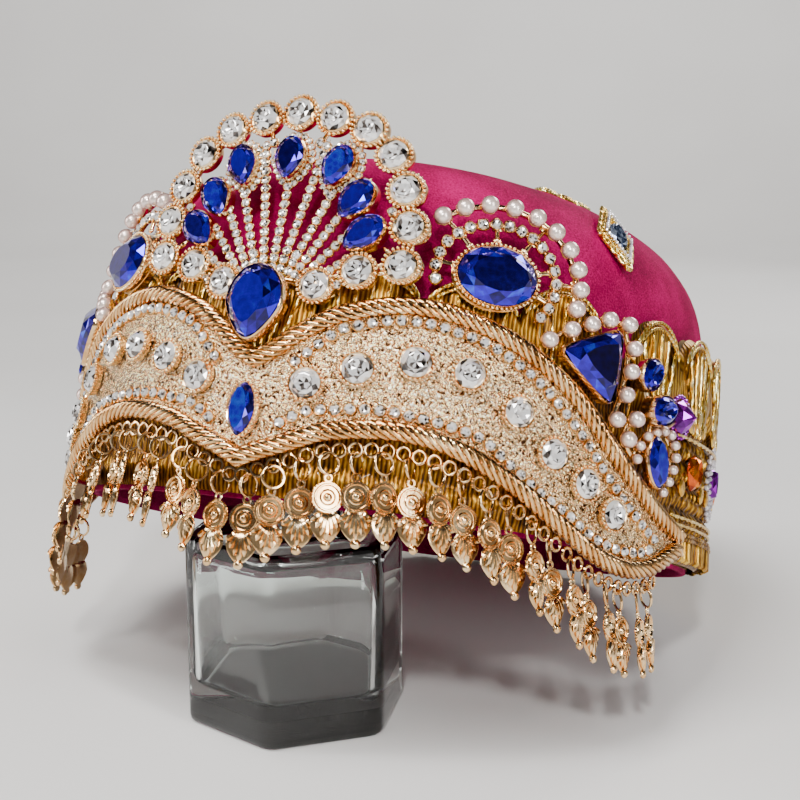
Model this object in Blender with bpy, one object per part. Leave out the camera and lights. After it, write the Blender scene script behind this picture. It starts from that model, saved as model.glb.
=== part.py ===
"""A dance crown resting on a square-shouldered glass jar.

The crown is a velvet cap with a gold embroidered band, and in front a gilt brow plate edged with rope,
a peacock fan of crystals and blue drops, side medallions with pearls, and a fringe of small pendants.
It leans back with its rear hem on the table, and its front is held up by the jar.

The crown is drawn unrolled: s runs along the wall from the middle of the brow, z is the height above the hem,
and off is the distance out from the wall's own surface. One function, on_wall, rolls it up.
All sizes below are in millimetres, and the meshes are scaled to metres.
"""
import math

import bmesh
import bpy
import numpy as np
from mathutils import Vector

MM = 0.001

# The wall's plan is an egg made of two half ellipses
HALF_WIDTH = 88.0
FRONT_LENGTH = 100.0
REAR_LENGTH = 90.0

# The wall is upright at the hem and leans in and back higher up
LEAN_START = 15.0
LEAN_FULL = 50.0
DRAW_IN = math.tan(math.radians(4.0))
SET_BACK = math.tan(math.radians(5.0))

# How the crown stands
CROWN_TILT = math.radians(20.5)
CROWN_PLACE = (4.1, 55.0, 31.5)

# Layers of the wall, measured out from its surface
VELVET_WALL = 2.0
BAND_INNER = -3.7
BAND_OUTER = -0.5
PLATE_BACK = -0.2
PLATE_FRONT = 1.3
GAP = 0.3

# Rope edges of the brow plate
ROPE_RADIUS = 2.3
ROPE_CENTRE_OFF = 1.5

# Heights of the two ropes' centre lines along the wall, s and z
TOP_ROPE = ((0, 32.0), (5, 34.8), (10, 39.0), (20, 44.8), (36, 48.4), (55, 45.6), (75, 36.3), (95, 20.8),
            (110, 12.0), (122, 7.6))
BOTTOM_ROPE = ((0, 8.8), (5, 11.0), (10, 12.9), (20, 16.9), (36, 18.8), (50, 16.7), (65, 10.6), (80, 2.6),
               (90, -1.8), (100, -3.5), (110, -1.9), (122, 3.6))
PLATE_END = 122.0

# Fans of the embroidered band: centre s, half width, top z
FAN_PITCH = 22.25
FRONT_PITCH = 24.6
REAR_FANS = tuple((109.5 + FAN_PITCH * k, 11.1, 61.0) for k in range(9))
FRONT_FANS = tuple((FRONT_PITCH * k, 12.2, 57.5) for k in range(3)) + ((FRONT_PITCH * 3, 12.2, 61.0),)
BAND_TOP = 48.0
BAND_BOTTOM = 1.0

TABLE_SIDES = 10


def stations(table, s):
    """Smooth curve through a short table of s and z, read at s."""
    knots = [row[0] for row in table]
    values = [row[1] for row in table]
    last = len(table) - 1
    k = min(max(sum(1 for knot in knots if knot <= s) - 1, 0), last - 1)

    def slope(i):
        if i == 0:
            return (values[1] - values[0]) / (knots[1] - knots[0])
        if i == last:
            return (values[last] - values[last - 1]) / (knots[last] - knots[last - 1])
        return (values[i + 1] - values[i - 1]) / (knots[i + 1] - knots[i - 1])

    width = knots[k + 1] - knots[k]
    t = (s - knots[k]) / width
    start = (2 * t ** 3 - 3 * t ** 2 + 1) * values[k] + (t ** 3 - 2 * t ** 2 + t) * width * slope(k)
    end = (3 * t ** 2 - 2 * t ** 3) * values[k + 1] + (t ** 3 - t ** 2) * width * slope(k + 1)
    return start + end


def rope_height(table, s):
    return stations(table, abs(s))


def rope_stretch(table, s):
    """How much longer than wide a rope's upright section is where the rope slopes."""
    rise = (rope_height(table, abs(s) + 1) - rope_height(table, max(abs(s) - 1, 0))) / 2
    return math.sqrt(1 + rise * rise)


def above_top_rope(s):
    """Height just clear of the top rope."""
    return rope_height(TOP_ROPE, s) + ROPE_RADIUS * rope_stretch(TOP_ROPE, s) + GAP


# The wall: arc length along its plan against angle, and the rolled surface
ANGLES = np.linspace(-math.pi, math.pi, 3601)


def plan_point(angle, off):
    length = np.where(np.cos(angle) > 0, FRONT_LENGTH, REAR_LENGTH)
    return (HALF_WIDTH + off) * np.sin(angle), -(length + off) * np.cos(angle)


def arc_lengths():
    x, y = plan_point(ANGLES, 0.0)
    steps = np.hypot(np.diff(x), np.diff(y))
    lengths = np.concatenate([[0.0], np.cumsum(steps)])
    return lengths - np.interp(0.0, ANGLES, lengths)


ARCS = arc_lengths()
HALF_GIRTH = float(ARCS[-1])


def lean(z):
    t = min(max(z - LEAN_START, 0.0), LEAN_FULL - LEAN_START)
    return t * t / (2 * (LEAN_FULL - LEAN_START)) + max(z - LEAN_FULL, 0.0)


def on_wall(s, z, off):
    """Point of the rolled wall in millimetres."""
    turns = round(s / (2 * HALF_GIRTH))
    angle = float(np.interp(s - turns * 2 * HALF_GIRTH, ARCS, ANGLES))
    x, y = plan_point(angle, off - DRAW_IN * lean(z))
    return Vector((float(x), float(y) + SET_BACK * lean(z), z))


def wall_angle(s):
    return float(np.interp(s, ARCS, ANGLES))


# The peacock fan stands almost flat in front of the cap
FAN_FACE = -97.9
FAN_LEAN = 0.085
FAN_BEND = 300.0


def on_fan(x, z, off):
    """Point of the fan's own surface, x across and off out of it."""
    return Vector((x, FAN_FACE + FAN_LEAN * (z - 45.0) + x * x / FAN_BEND - off, z))


# Shaping helpers
def finish(name, mesh_data, material, sheet=None, parent=None):
    """Roll the shape up, scale it to metres and make it an object."""
    bmesh.ops.triangulate(mesh_data, faces=mesh_data.faces[:])
    if sheet:
        for vert in mesh_data.verts:
            vert.co = sheet(vert.co.x, vert.co.y, vert.co.z)
    bmesh.ops.recalc_face_normals(mesh_data, faces=mesh_data.faces[:])
    if mesh_data.calc_volume(signed=True) < 0:
        bmesh.ops.reverse_faces(mesh_data, faces=mesh_data.faces[:])
    bmesh.ops.scale(mesh_data, vec=(MM, MM, MM), verts=mesh_data.verts[:])
    mesh = bpy.data.meshes.new(name)
    mesh_data.to_mesh(mesh)
    mesh_data.free()
    mesh.materials.append(material)
    item = bpy.data.objects.new(name, mesh)
    bpy.context.scene.collection.objects.link(item)
    item.parent = parent
    return item


def round_off(item, angle=35):
    item.data.shade_smooth()
    item.data.set_sharp_from_angle(angle=math.radians(angle))


def stack(mesh_data, rings, ends="capped"):
    """Join rings of equal point counts; the ends are capped, looped to each other or left open."""
    loops = [[mesh_data.verts.new(point) for point in ring] for ring in rings]
    pairs = list(zip(loops, loops[1:]))
    if ends == "looped":
        pairs.append((loops[-1], loops[0]))
    for low, high in pairs:
        count = len(low)
        for i in range(count):
            j = (i + 1) % count
            mesh_data.faces.new((low[i], low[j], high[j], high[i]))
    if ends == "capped":
        mesh_data.faces.new(loops[0][::-1])
        mesh_data.faces.new(loops[-1])
    return loops


def outline_round(radius, sides=TABLE_SIDES):
    return [(radius * math.cos(2 * math.pi * (i + 0.5) / sides), radius * math.sin(2 * math.pi * (i + 0.5) / sides))
            for i in range(sides)]


def outline_oval(length, width, sides=12):
    return [(length / 2 * math.cos(2 * math.pi * i / sides), width / 2 * math.sin(2 * math.pi * i / sides))
            for i in range(sides)]


def outline_drop(width, height, sides=12):
    """Pear shape with its tip down, centred on its round part's middle height."""
    points = []
    for i in range(sides):
        turn = 2 * math.pi * i / sides
        taper = 1 - 0.38 * max(0.0, -math.sin(turn)) ** 1.2
        points.append((width / 2 * math.cos(turn) * taper, height / 2 * math.sin(turn)))
    return points


def outline_marquise(width, height, sides=12):
    points = []
    for i in range(sides):
        turn = 2 * math.pi * i / sides
        points.append((width / 2 * math.cos(turn) * abs(math.cos(turn)) ** 0.25, height / 2 * math.sin(turn)))
    return points


def outline_trillion(radius):
    """Triangle with bowed sides and cut corners."""
    points = []
    for corner in range(3):
        start = math.pi / 2 + 2 * math.pi * corner / 3
        for t in (0.06, 0.37, 0.63, 0.94):
            a = Vector((math.cos(start), math.sin(start))) * radius
            b = Vector((math.cos(start + 2 * math.pi / 3), math.sin(start + 2 * math.pi / 3))) * radius
            mid = (a + b) / 2
            bow = 1 - (2 * t - 1) ** 2
            points.append(tuple(a.lerp(b, t) + mid.normalized() * bow * radius * 0.08))
    return points


def placed(outline, centre, turn=0.0):
    c, s = math.cos(turn), math.sin(turn)
    return [(centre[0] + x * c - y * s, centre[1] + x * s + y * c) for x, y in outline]


def scaled(outline, factor):
    return [(x * factor, y * factor) for x, y in outline]


def grown(outline, amount):
    """Outline moved outwards by an amount, along lines from its centre."""
    points = []
    for x, y in outline:
        radius = math.hypot(x, y)
        points.append((x * (radius + amount) / radius, y * (radius + amount) / radius))
    return points


def gem(mesh_data, outline, centre, turn, base, rise, bezel=0.8, wall=2.0, table=0.55, rim=True):
    """Stone in its cup: cup wall, rim, sloping crown and flat table. rise is the stone's top above the base."""
    rings = []
    levels = [(grown(outline, bezel), 0.0), (grown(outline, bezel), wall), (scaled(outline, table), rise)]
    if rim:
        levels.insert(2, (scaled(outline, 0.97), wall + 0.25))
    for shape, height in levels:
        rings.append([(x, y, base + height) for x, y in placed(shape, centre, turn)])
    stack(mesh_data, rings)


def slab(mesh_data, outline, low, high):
    """Flat piece with an upright edge."""
    stack(mesh_data, [[(x, y, low) for x, y in outline], [(x, y, high) for x, y in outline]])


def pearl(mesh_data, centre, low, radius, sides=10):
    """Pearl whose lower part is sunk in its seat."""
    middle = low + radius
    levels = ((0.72, -0.95), (1.0, 0.0), (0.55, 0.84))
    rings = []
    for across, up in levels:
        rings.append([(x, y, middle + up * radius) for x, y in
                      placed(outline_round(radius * across, sides), centre)])
    stack(mesh_data, rings)


def strip(path, width):
    """Outline of a flat strip of one width along a path."""
    left, right = [], []
    for i, point in enumerate(path):
        before = path[max(i - 1, 0)]
        after = path[min(i + 1, len(path) - 1)]
        direction = (Vector(after) - Vector(before)).normalized()
        side = Vector((-direction.y, direction.x)) * width / 2
        left.append(tuple(Vector(point) + side))
        right.append(tuple(Vector(point) - side))
    return right + left[::-1]


def openwork(mesh_data, rings, metal, low, high):
    """Pierced plate: rings of points round a filled middle, where metal(band, sector) says which cells are there."""
    count = len(rings[0])
    made = {}

    def vert(ring, sector, level):
        key = (ring, sector % count, level)
        if key not in made:
            x, y = rings[ring][sector % count]
            made[key] = mesh_data.verts.new((x, y, level))
        return made[key]

    def filled(band, sector):
        return band < 0 or (band < len(rings) - 1 and metal(band, sector % count))

    for level in (low, high):
        mesh_data.faces.new([vert(0, k, level) for k in range(count)])
    for band in range(-1, len(rings) - 1):
        for k in range(count):
            if not filled(band, k):
                continue
            if band >= 0:
                for level in (low, high):
                    mesh_data.faces.new((vert(band, k, level), vert(band, k + 1, level),
                                         vert(band + 1, k + 1, level), vert(band + 1, k, level)))
                for other, beside in ((k - 1, k), (k + 1, k + 1)):
                    if not filled(band, other):
                        mesh_data.faces.new((vert(band, beside, low), vert(band + 1, beside, low),
                                             vert(band + 1, beside, high), vert(band, beside, high)))
                if not filled(band - 1, k):
                    mesh_data.faces.new((vert(band, k, low), vert(band, k + 1, low),
                                         vert(band, k + 1, high), vert(band, k, high)))
            if not filled(band + 1, k):
                mesh_data.faces.new((vert(band + 1, k, low), vert(band + 1, k + 1, low),
                                     vert(band + 1, k + 1, high), vert(band + 1, k, high)))


def as_mesh(build):
    """One closed shape made by build, as a mesh."""
    shape = bmesh.new()
    build(shape)
    bmesh.ops.triangulate(shape, faces=shape.faces[:])
    bmesh.ops.recalc_face_normals(shape, faces=shape.faces[:])
    mesh = bpy.data.meshes.new("shape")
    shape.to_mesh(mesh)
    shape.free()
    return mesh


def union(meshes):
    """Union of overlapping closed meshes, as a bmesh in the unrolled frame."""
    items = []
    for mesh in meshes:
        item = bpy.data.objects.new("shape", mesh)
        bpy.context.scene.collection.objects.link(item)
        items.append(item)
    for other in items[1:]:
        join = items[0].modifiers.new("join", "BOOLEAN")
        join.operation = "UNION"
        join.solver = "MANIFOLD"
        join.object = other
    graph = bpy.context.evaluated_depsgraph_get()
    graph.update()
    result = bmesh.new()
    result.from_mesh(items[0].evaluated_get(graph).to_mesh())
    for item in items:
        bpy.data.objects.remove(item)
    return result


def slice_across(shape, pitch):
    """Cut the flat shape into narrow bays, so that it rolls up round."""
    low = min(vert.co.x for vert in shape.verts)
    high = max(vert.co.x for vert in shape.verts)
    for k in range(math.ceil(low / pitch), math.floor(high / pitch) + 1):
        everything = shape.verts[:] + shape.edges[:] + shape.faces[:]
        bmesh.ops.bisect_plane(shape, geom=everything, dist=0.1, plane_co=(k * pitch, 0, 0), plane_no=(1, 0, 0))


def fused(plates, studs=(), pitch=None):
    """One body: flat plates that cross each other with studs set on them, cut into bays where it bends."""
    shape = union([as_mesh(build) for build in list(plates) + list(studs)])
    bmesh.ops.dissolve_limit(shape, angle_limit=math.radians(0.5), verts=shape.verts[:], edges=shape.edges[:])
    if pitch:
        slice_across(shape, pitch)
    return shape


def mirrored(points, side):
    return [(side * x, y) for x, y in points]


def finish_of(name, colour, roughness, metallic):
    material = bpy.data.materials.new(name)
    material.use_nodes = True
    shader = material.node_tree.nodes["Principled BSDF"]
    shader.inputs["Base Color"].default_value = (*colour, 1.0)
    shader.inputs["Roughness"].default_value = roughness
    shader.inputs["Metallic"].default_value = metallic
    material.diffuse_color = (*colour, 1.0)
    return material


# The jar and the post on it
JAR_RADIUS = 29.3
JAR_TURN = math.radians(11.8)
JAR_HEIGHT = 49.5
JAR_WALL = 3.2
JAR_FLOOR = 10.0
JAR_SHOULDER = 4.0
JAR_EDGE = 2.0
NECK_RADIUS = 12.0
NECK_BORE = 8.0
NECK_HEIGHT = 8.0
POST_RADIUS = 6.0
POST_TOP = 121.3


def hexagon(radius, height, cut=0.16):
    """Six sides with each corner cut to a narrow flat."""
    corners = [Vector((math.sin(JAR_TURN + k * math.pi / 3), -math.cos(JAR_TURN + k * math.pi / 3), 0)) * radius
               for k in range(6)]
    points = []
    for k, corner in enumerate(corners):
        before = corners[k - 1]
        after = corners[(k + 1) % 6]
        for other in (before, after):
            spot = corner.lerp(other, cut / 2)
            points.append((spot.x, spot.y, height))
    return points


def circle(radius, height, count=12):
    """Circle whose points face the jar's twelve corners."""
    turns = [math.atan2(y, x) for x, y, z in hexagon(JAR_RADIUS, 0.0)]
    return [(radius * math.cos(turn), radius * math.sin(turn), height) for turn in turns[:count]]


def glass_jar(material):
    shape = bmesh.new()
    inner = JAR_RADIUS - JAR_WALL
    rings = [
        hexagon(JAR_RADIUS - JAR_EDGE, 0.0),
        hexagon(JAR_RADIUS, JAR_EDGE),
        hexagon(JAR_RADIUS, JAR_HEIGHT - JAR_EDGE),
        hexagon(JAR_RADIUS - JAR_EDGE, JAR_HEIGHT),
        circle(NECK_RADIUS, JAR_HEIGHT),
        circle(NECK_RADIUS, JAR_HEIGHT + NECK_HEIGHT),
        circle(NECK_BORE, JAR_HEIGHT + NECK_HEIGHT),
        circle(NECK_BORE, JAR_HEIGHT - JAR_SHOULDER),
        hexagon(inner - JAR_EDGE, JAR_HEIGHT - JAR_SHOULDER),
        hexagon(inner, JAR_HEIGHT - JAR_SHOULDER - JAR_EDGE),
        hexagon(inner, JAR_FLOOR + JAR_EDGE),
        hexagon(inner - JAR_EDGE, JAR_FLOOR),
    ]
    stack(shape, rings)
    return finish("glass_jar", shape, material)


def stand_post(material):
    """Stopper in the jar's neck with a plain rod that reaches the inside of the cap."""
    shape = bmesh.new()
    top = JAR_HEIGHT + NECK_HEIGHT + GAP
    profile = ((NECK_BORE - GAP, top - 7.0), (NECK_BORE - GAP, top), (NECK_RADIUS, top), (NECK_RADIUS, top + 3.0),
               (POST_RADIUS, top + 4.0), (POST_RADIUS, POST_TOP - 1.0), (POST_RADIUS - 1.0, POST_TOP))
    stack(shape, [circle(radius, height) for radius, height in profile])
    item = finish("stand_post", shape, material)
    round_off(item)
    return item


# The velvet cap, outer profile: z and how far the wall has come in
CAP_SIDES = 32
CAP_PROFILE = ((0, 4.0), (15, 4.0), (32, 4.0), (50, 4.0), (61, 4.0), (71, 5.2), (80, 8.6), (88, 15.5),
               (94, 28.0), (98, 56.0))
CAP_TOP = 99.3


def cap_ring(z, inset):
    ring = []
    for k in range(CAP_SIDES):
        s = (k + 0.5) / CAP_SIDES * 2 * HALF_GIRTH
        angle = wall_angle(s if s < HALF_GIRTH else s - 2 * HALF_GIRTH)
        x, y = plan_point(angle, -inset - DRAW_IN * lean(z))
        ring.append((float(x), float(y) + SET_BACK * lean(z), z))
    return ring


def inner_profile():
    """The outer profile moved in by the thickness of the velvet and its stiffening."""
    points = []
    last = len(CAP_PROFILE) - 1
    for i, (z, inset) in enumerate(CAP_PROFILE):
        z0, n0 = CAP_PROFILE[max(i - 1, 0)]
        z1, n1 = CAP_PROFILE[min(i + 1, last)]
        length = math.hypot(z1 - z0, n1 - n0)
        across = (z1 - z0) / length
        down = (n1 - n0) / length
        points.append((z - down * VELVET_WALL if i else 0.0, inset + across * VELVET_WALL))
    return points


def velvet_cap(material, crown):
    shape = bmesh.new()
    outer = [cap_ring(z, inset) for z, inset in CAP_PROFILE]
    inner = [cap_ring(z, inset) for z, inset in inner_profile()]
    loops = stack(shape, inner[::-1] + outer, ends="open")
    centre_y = SET_BACK * lean(CAP_TOP)
    for loop, height in ((loops[0], CAP_TOP - VELVET_WALL), (loops[-1], CAP_TOP)):
        tip = shape.verts.new((0.0, centre_y, height))
        for i, vert in enumerate(loop):
            shape.faces.new((vert, loop[(i + 1) % len(loop)], tip))
    item = finish("velvet_cap", shape, material, None, crown)
    round_off(item, 50)
    return item


# The gold band round the cap
def band_top(s):
    """Upper edge: low and level, rising over each embroidered fan."""
    s = abs(s)
    height = BAND_TOP
    for centre, half, top in FRONT_FANS + REAR_FANS:
        along = (s - centre) / half
        if abs(along) < 1:
            height = max(height, BAND_TOP + (top - BAND_TOP) * math.sqrt(1 - along * along))
    return height


def band_stations():
    """Four steps to each fan, in front and behind."""
    first_fan = REAR_FANS[0][0] - FAN_PITCH / 2
    front = [k * first_fan / 16 for k in range(16)]
    rear = [first_fan + k * FAN_PITCH / 4 for k in range(int(round((HALF_GIRTH - first_fan) / FAN_PITCH * 4)) + 1)]
    half = [s for s in front + rear if s < HALF_GIRTH - 1]
    return half + [HALF_GIRTH] + [2 * HALF_GIRTH - s for s in half[:0:-1]]


def gold_side_band(material, crown):
    shape = bmesh.new()
    places = band_stations()
    rings = []
    for share, off in ((0.0, BAND_INNER), (0.36, BAND_INNER), (0.7, BAND_INNER), (1.0, BAND_INNER),
                       (1.0, BAND_OUTER), (0.7, BAND_OUTER), (0.36, BAND_OUTER), (0.0, BAND_OUTER)):
        ring = []
        for s in places:
            centred = s if s <= HALF_GIRTH else s - 2 * HALF_GIRTH
            ring.append((s, BAND_BOTTOM + share * (band_top(centred) - BAND_BOTTOM), off))
        rings.append(ring)
    stack(shape, rings, ends="looped")
    item = finish("gold_side_band", shape, material, on_wall, crown)
    round_off(item, 40)
    return item


# Ruffled gold braid along the hem behind the plate
BRAID_START = 126.5
BRAID_PITCH = 11.0
BRAID_LOW = 1.0
BRAID_HIGH = 8.6


def hem_braid(material, crown):
    shape = bmesh.new()
    rings = []
    count = int(round((2 * HALF_GIRTH - 2 * BRAID_START) / BRAID_PITCH * 2))
    for k in range(count + 1):
        s = BRAID_START + k * (2 * HALF_GIRTH - 2 * BRAID_START) / count
        wave = 0.5 - 0.5 * math.cos(math.pi * k)
        proud = 1.3 + 1.2 * wave
        low = BRAID_LOW + 0.5 * (1 - wave)
        back = BAND_OUTER + GAP
        rings.append([(s, low, back), (s, low, back + proud), (s, (low + BRAID_HIGH) / 2, back + proud * 0.7),
                      (s, BRAID_HIGH, back + proud * 0.9), (s, BRAID_HIGH, back)])
    stack(shape, rings)
    return finish("hem_braid", shape, material, on_wall, crown)


# The brow plate with its two rope edges, one casting
PLATE_STEP = 6.1


def plate_section(s):
    """Upright section through the plate at s, from the bottom rope over the front to the top rope and back."""
    low = rope_height(BOTTOM_ROPE, s)
    high = rope_height(TOP_ROPE, s)
    low_stretch = rope_stretch(BOTTOM_ROPE, s) * ROPE_RADIUS
    high_stretch = rope_stretch(TOP_ROPE, s) * ROPE_RADIUS
    room = high - low - low_stretch - high_stretch
    if room < 0.8:
        low, high = low + (room - 0.8) / 2, high - (room - 0.8) / 2
    crest = ROPE_CENTRE_OFF + ROPE_RADIUS
    shoulder = ROPE_CENTRE_OFF + 0.6 * ROPE_RADIUS
    inner_low = low + low_stretch
    inner_high = high - high_stretch
    section = [(low - 0.8 * low_stretch, PLATE_BACK), (low - low_stretch, ROPE_CENTRE_OFF - 0.3)]
    section += [(low - 0.8 * low_stretch, shoulder), (low - 0.3 * low_stretch, crest),
                (low + 0.3 * low_stretch, crest), (low + 0.8 * low_stretch, shoulder)]
    section += [(inner_low, PLATE_FRONT), (inner_high, PLATE_FRONT)]
    section += [(high - 0.8 * high_stretch, shoulder), (high - 0.3 * high_stretch, crest),
                (high + 0.3 * high_stretch, crest), (high + 0.8 * high_stretch, shoulder)]
    section += [(high + high_stretch, ROPE_CENTRE_OFF - 0.3), (high + 0.8 * high_stretch, PLATE_BACK)]
    section += [((2 * high + low) / 3, PLATE_BACK), ((high + 2 * low) / 3, PLATE_BACK)]
    return [(s, z, off) for z, off in section]


def brow_plate(material, crown):
    shape = bmesh.new()
    count = int(round(PLATE_END / PLATE_STEP))
    rings = [plate_section(PLATE_END * k / count) for k in range(-count, count + 1)]

    def tip(ring, side):
        middle = sum(z for s, z, off in ring) / len(ring)
        return [(s + side * 2.6, middle + (z - middle) * 0.62, PLATE_BACK + (off - PLATE_BACK) * 0.7)
                for s, z, off in ring]

    rings = [tip(rings[0], -1)] + rings + [tip(rings[-1], 1)]
    stack(shape, rings)
    item = finish("brow_plate", shape, material, on_wall, crown)
    round_off(item, 40)
    return item


# Clear stones in cups along the plate: s and z on one side
PLATE_SEAT = PLATE_FRONT + GAP
BROW_CRYSTALS = ((13.8, 27.0), (24.8, 31.7), (37.3, 35.0), (49.7, 34.5), (62.4, 27.7), (72.7, 19.7), (82.8, 14.4),
                 (92.5, 8.6))
CRYSTAL_RADIUS = 3.3


def brow_crystals(material, crown):
    for side, word in ((1, "r"), (-1, "l")):
        for k, (s, z) in enumerate(BROW_CRYSTALS):
            shape = bmesh.new()
            gem(shape, outline_round(CRYSTAL_RADIUS), (side * s, z), 0.0, PLATE_SEAT, 3.2, bezel=0.85, wall=2.0,
                rim=False)
            item = finish("brow_crystal_%s_%d" % (word, k + 1), shape, material, on_wall, crown)
            round_off(item)


def centre_stones(material, crown):
    shape = bmesh.new()
    gem(shape, outline_marquise(6.6, 12.5), (0.0, 19.8), 0.0, PLATE_SEAT + 0.1, 3.6, bezel=0.8, wall=2.1,
        rim=False)
    finish("brow_marquise", shape, material, on_wall, crown)
    shape = bmesh.new()
    gem(shape, outline_drop(13.4, 17.2), (0.0, 44.6), 0.0, FAN_PEAR_SEAT, 6.4, bezel=0.8, wall=3.4)
    finish("front_pear", shape, material, on_fan, crown)


# The peacock fan: wreath seats, drops and rays, x and z across the fan
WREATH = ((0, 93.5), (9.3, 92.2), (18.3, 89.4), (25.3, 83.4), (29.5, 74.9), (31.7, 66.0), (31.4, 56.6),
          (21.6, 54.5), (12.1, 50.3))
WREATH_RADIUS = 3.5
FAN_PEARS = ((0, 81.5), (12.6, 79.6), (18.5, 71.5), (21.8, 63.4))
FAN_FOCUS = (0.0, 42.0)
# Rays: angle from upright in degrees and outer end from the focus
RAYS = ((0, 34.5), (10.5, 46.0), (20.5, 34.0), (29.5, 41.0), (39, 31.0), (50, 30.0), (62, 26.5))
RAY_START = 11.5
FAN_PEAR_SEAT = 4.3
FAN_PLATE = (0.3, 2.0)
DROP_SEAT = FAN_PLATE[1] + GAP


def both_sides(points):
    return list(points) + [(-x, z) for x, z in points if x]


def pear_turn(x, z):
    """The drops' tips point at the focus."""
    return math.atan2(-(x - FAN_FOCUS[0]), z - FAN_FOCUS[1])


def fan_frame(material, crown):
    plates = []
    studs = []
    rim = [(-x, z) for x, z in WREATH[::-1]] + list(WREATH[1:])

    def wire(shape):
        slab(shape, strip(rim, 3.6), *FAN_PLATE)

    plates.append(wire)
    for x, z in both_sides(WREATH):
        def stud(shape, x=x, z=z):
            gem(shape, outline_round(WREATH_RADIUS), (x, z), 0.0, FAN_PLATE[0], 4.2, bezel=1.0, wall=3.0, rim=False)
        studs.append(stud)

    def hub(shape):
        lower = [(x, above_top_rope(x)) for x in (-9.5, -5.0, 0.0, 5.0, 9.5)]
        slab(shape, lower + [(10.0, 50.0), (5.5, 55.0), (-5.5, 55.0), (-10.0, 50.0)], *FAN_PLATE)

    def collet(shape):
        slab(shape, placed(outline_drop(9.0, 10.0), (0.0, 47.0)), FAN_PLATE[0] + 0.2, FAN_PEAR_SEAT - GAP)

    plates.append(hub)
    studs.append(collet)
    for angle, reach in RAYS:
        for side in ((1, -1) if angle else (1,)):
            turn = math.radians(side * angle)
            tip = (FAN_FOCUS[0] + math.sin(turn) * reach, FAN_FOCUS[1] + math.cos(turn) * reach)
            root = (FAN_FOCUS[0] + math.sin(turn) * RAY_START, FAN_FOCUS[1] + math.cos(turn) * RAY_START)

            def ray(shape, root=root, tip=tip):
                slab(shape, strip([root, tip], 2.1), *FAN_PLATE)

            plates.append(ray)
    for x, z in both_sides(FAN_PEARS):
        def seat(shape, x=x, z=z):
            halo = 1.9 if z > 75 else 1.4
            slab(shape, placed(grown(outline_drop(7.5, 10.5), halo), (x, z), pear_turn(x, z)), *FAN_PLATE)
        plates.append(seat)
    shape = fused(plates, studs)
    return finish("fan_frame", shape, material, on_fan, crown)


def fan_drops(material, crown):
    for k, (x, z) in enumerate(sorted(both_sides(FAN_PEARS))):
        shape = bmesh.new()
        gem(shape, outline_drop(7.0, 10.2), (x, z), pear_turn(x, z), DROP_SEAT, 3.4, bezel=0.6, wall=1.9, rim=False)
        finish("fan_drop_%d" % (k + 1), shape, material, on_fan, crown)


# Side medallions: an oval stone in an open halo of crystals and pearls
OVAL_CENTRE = (52.7, 58.5)
OVAL_SIZE = (19.0, 14.2)
HALO_CENTRE = (53.4, 59.2)
# Half widths and half heights of the openwork's rings, from the stone's seat to the string of pearls
SEAT_RING = (10.4, 8.0)
HALO_INNER = (13.7, 11.2)
HALO_OUTER = (16.8, 14.3)
STRING_INNER = (20.2, 16.0)
STRING_OUTER = (22.6, 18.4)
STRING_MIDDLE = (21.4, 17.2)
SECTORS = 28
# Sectors counted clockwise from straight up
HALO_SECTORS = (-9, 10)
STRING_SECTORS = (-4, 7)
INNER_SPOKES = (-7, -4, -1, 2, 5, 8)
OUTER_SPOKES = (-4, 2, 6)
PEARLS = 10
FIRST_PEARL = -46.0
PEARL_TURN = 16.6
PEARL_RADIUS = 2.2
TRIM_BACK = 0.3
TRIM_FRONT = 1.6


def ellipse_point(centre, radii, turn):
    """Point of an ellipse, with the turn counted clockwise from straight up."""
    return centre[0] + radii[0] * math.sin(turn), centre[1] + radii[1] * math.cos(turn)


def medallion(side, word, frame_material, stone_material, crown):
    def metal(band, sector):
        spot = sector if sector < SECTORS / 2 else sector - SECTORS
        if band == 0:
            return spot in INNER_SPOKES
        if band == 1:
            return HALO_SECTORS[0] <= spot <= HALO_SECTORS[1]
        if band == 2:
            return spot in OUTER_SPOKES
        return STRING_SECTORS[0] <= spot <= STRING_SECTORS[1]

    def web(shape):
        rings = []
        for centre, radii in ((OVAL_CENTRE, SEAT_RING), (HALO_CENTRE, HALO_INNER), (HALO_CENTRE, HALO_OUTER),
                              (HALO_CENTRE, STRING_INNER), (HALO_CENTRE, STRING_OUTER)):
            ring = [ellipse_point(centre, radii, 2 * math.pi * k / SECTORS) for k in range(SECTORS)]
            rings.append(mirrored(ring, side))
        openwork(shape, rings, metal, TRIM_BACK, TRIM_FRONT)

    beads = []
    for k in range(PEARLS):
        def bead(shape, k=k):
            x, z = ellipse_point(HALO_CENTRE, STRING_MIDDLE, math.radians(FIRST_PEARL + PEARL_TURN * k))
            pearl(shape, (side * x, z), TRIM_FRONT - 0.7, PEARL_RADIUS, 8)
        beads.append(bead)
    finish("medallion_frame_" + word, union([as_mesh(build) for build in [web] + beads]), frame_material, on_wall,
           crown)
    shape = bmesh.new()
    gem(shape, outline_oval(*OVAL_SIZE, 16), (side * OVAL_CENTRE[0], OVAL_CENTRE[1]), 0.0, TRIM_FRONT + GAP, 5.4,
        bezel=0.8, wall=3.0)
    finish("medallion_stone_" + word, shape, stone_material, on_wall, crown)


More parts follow.
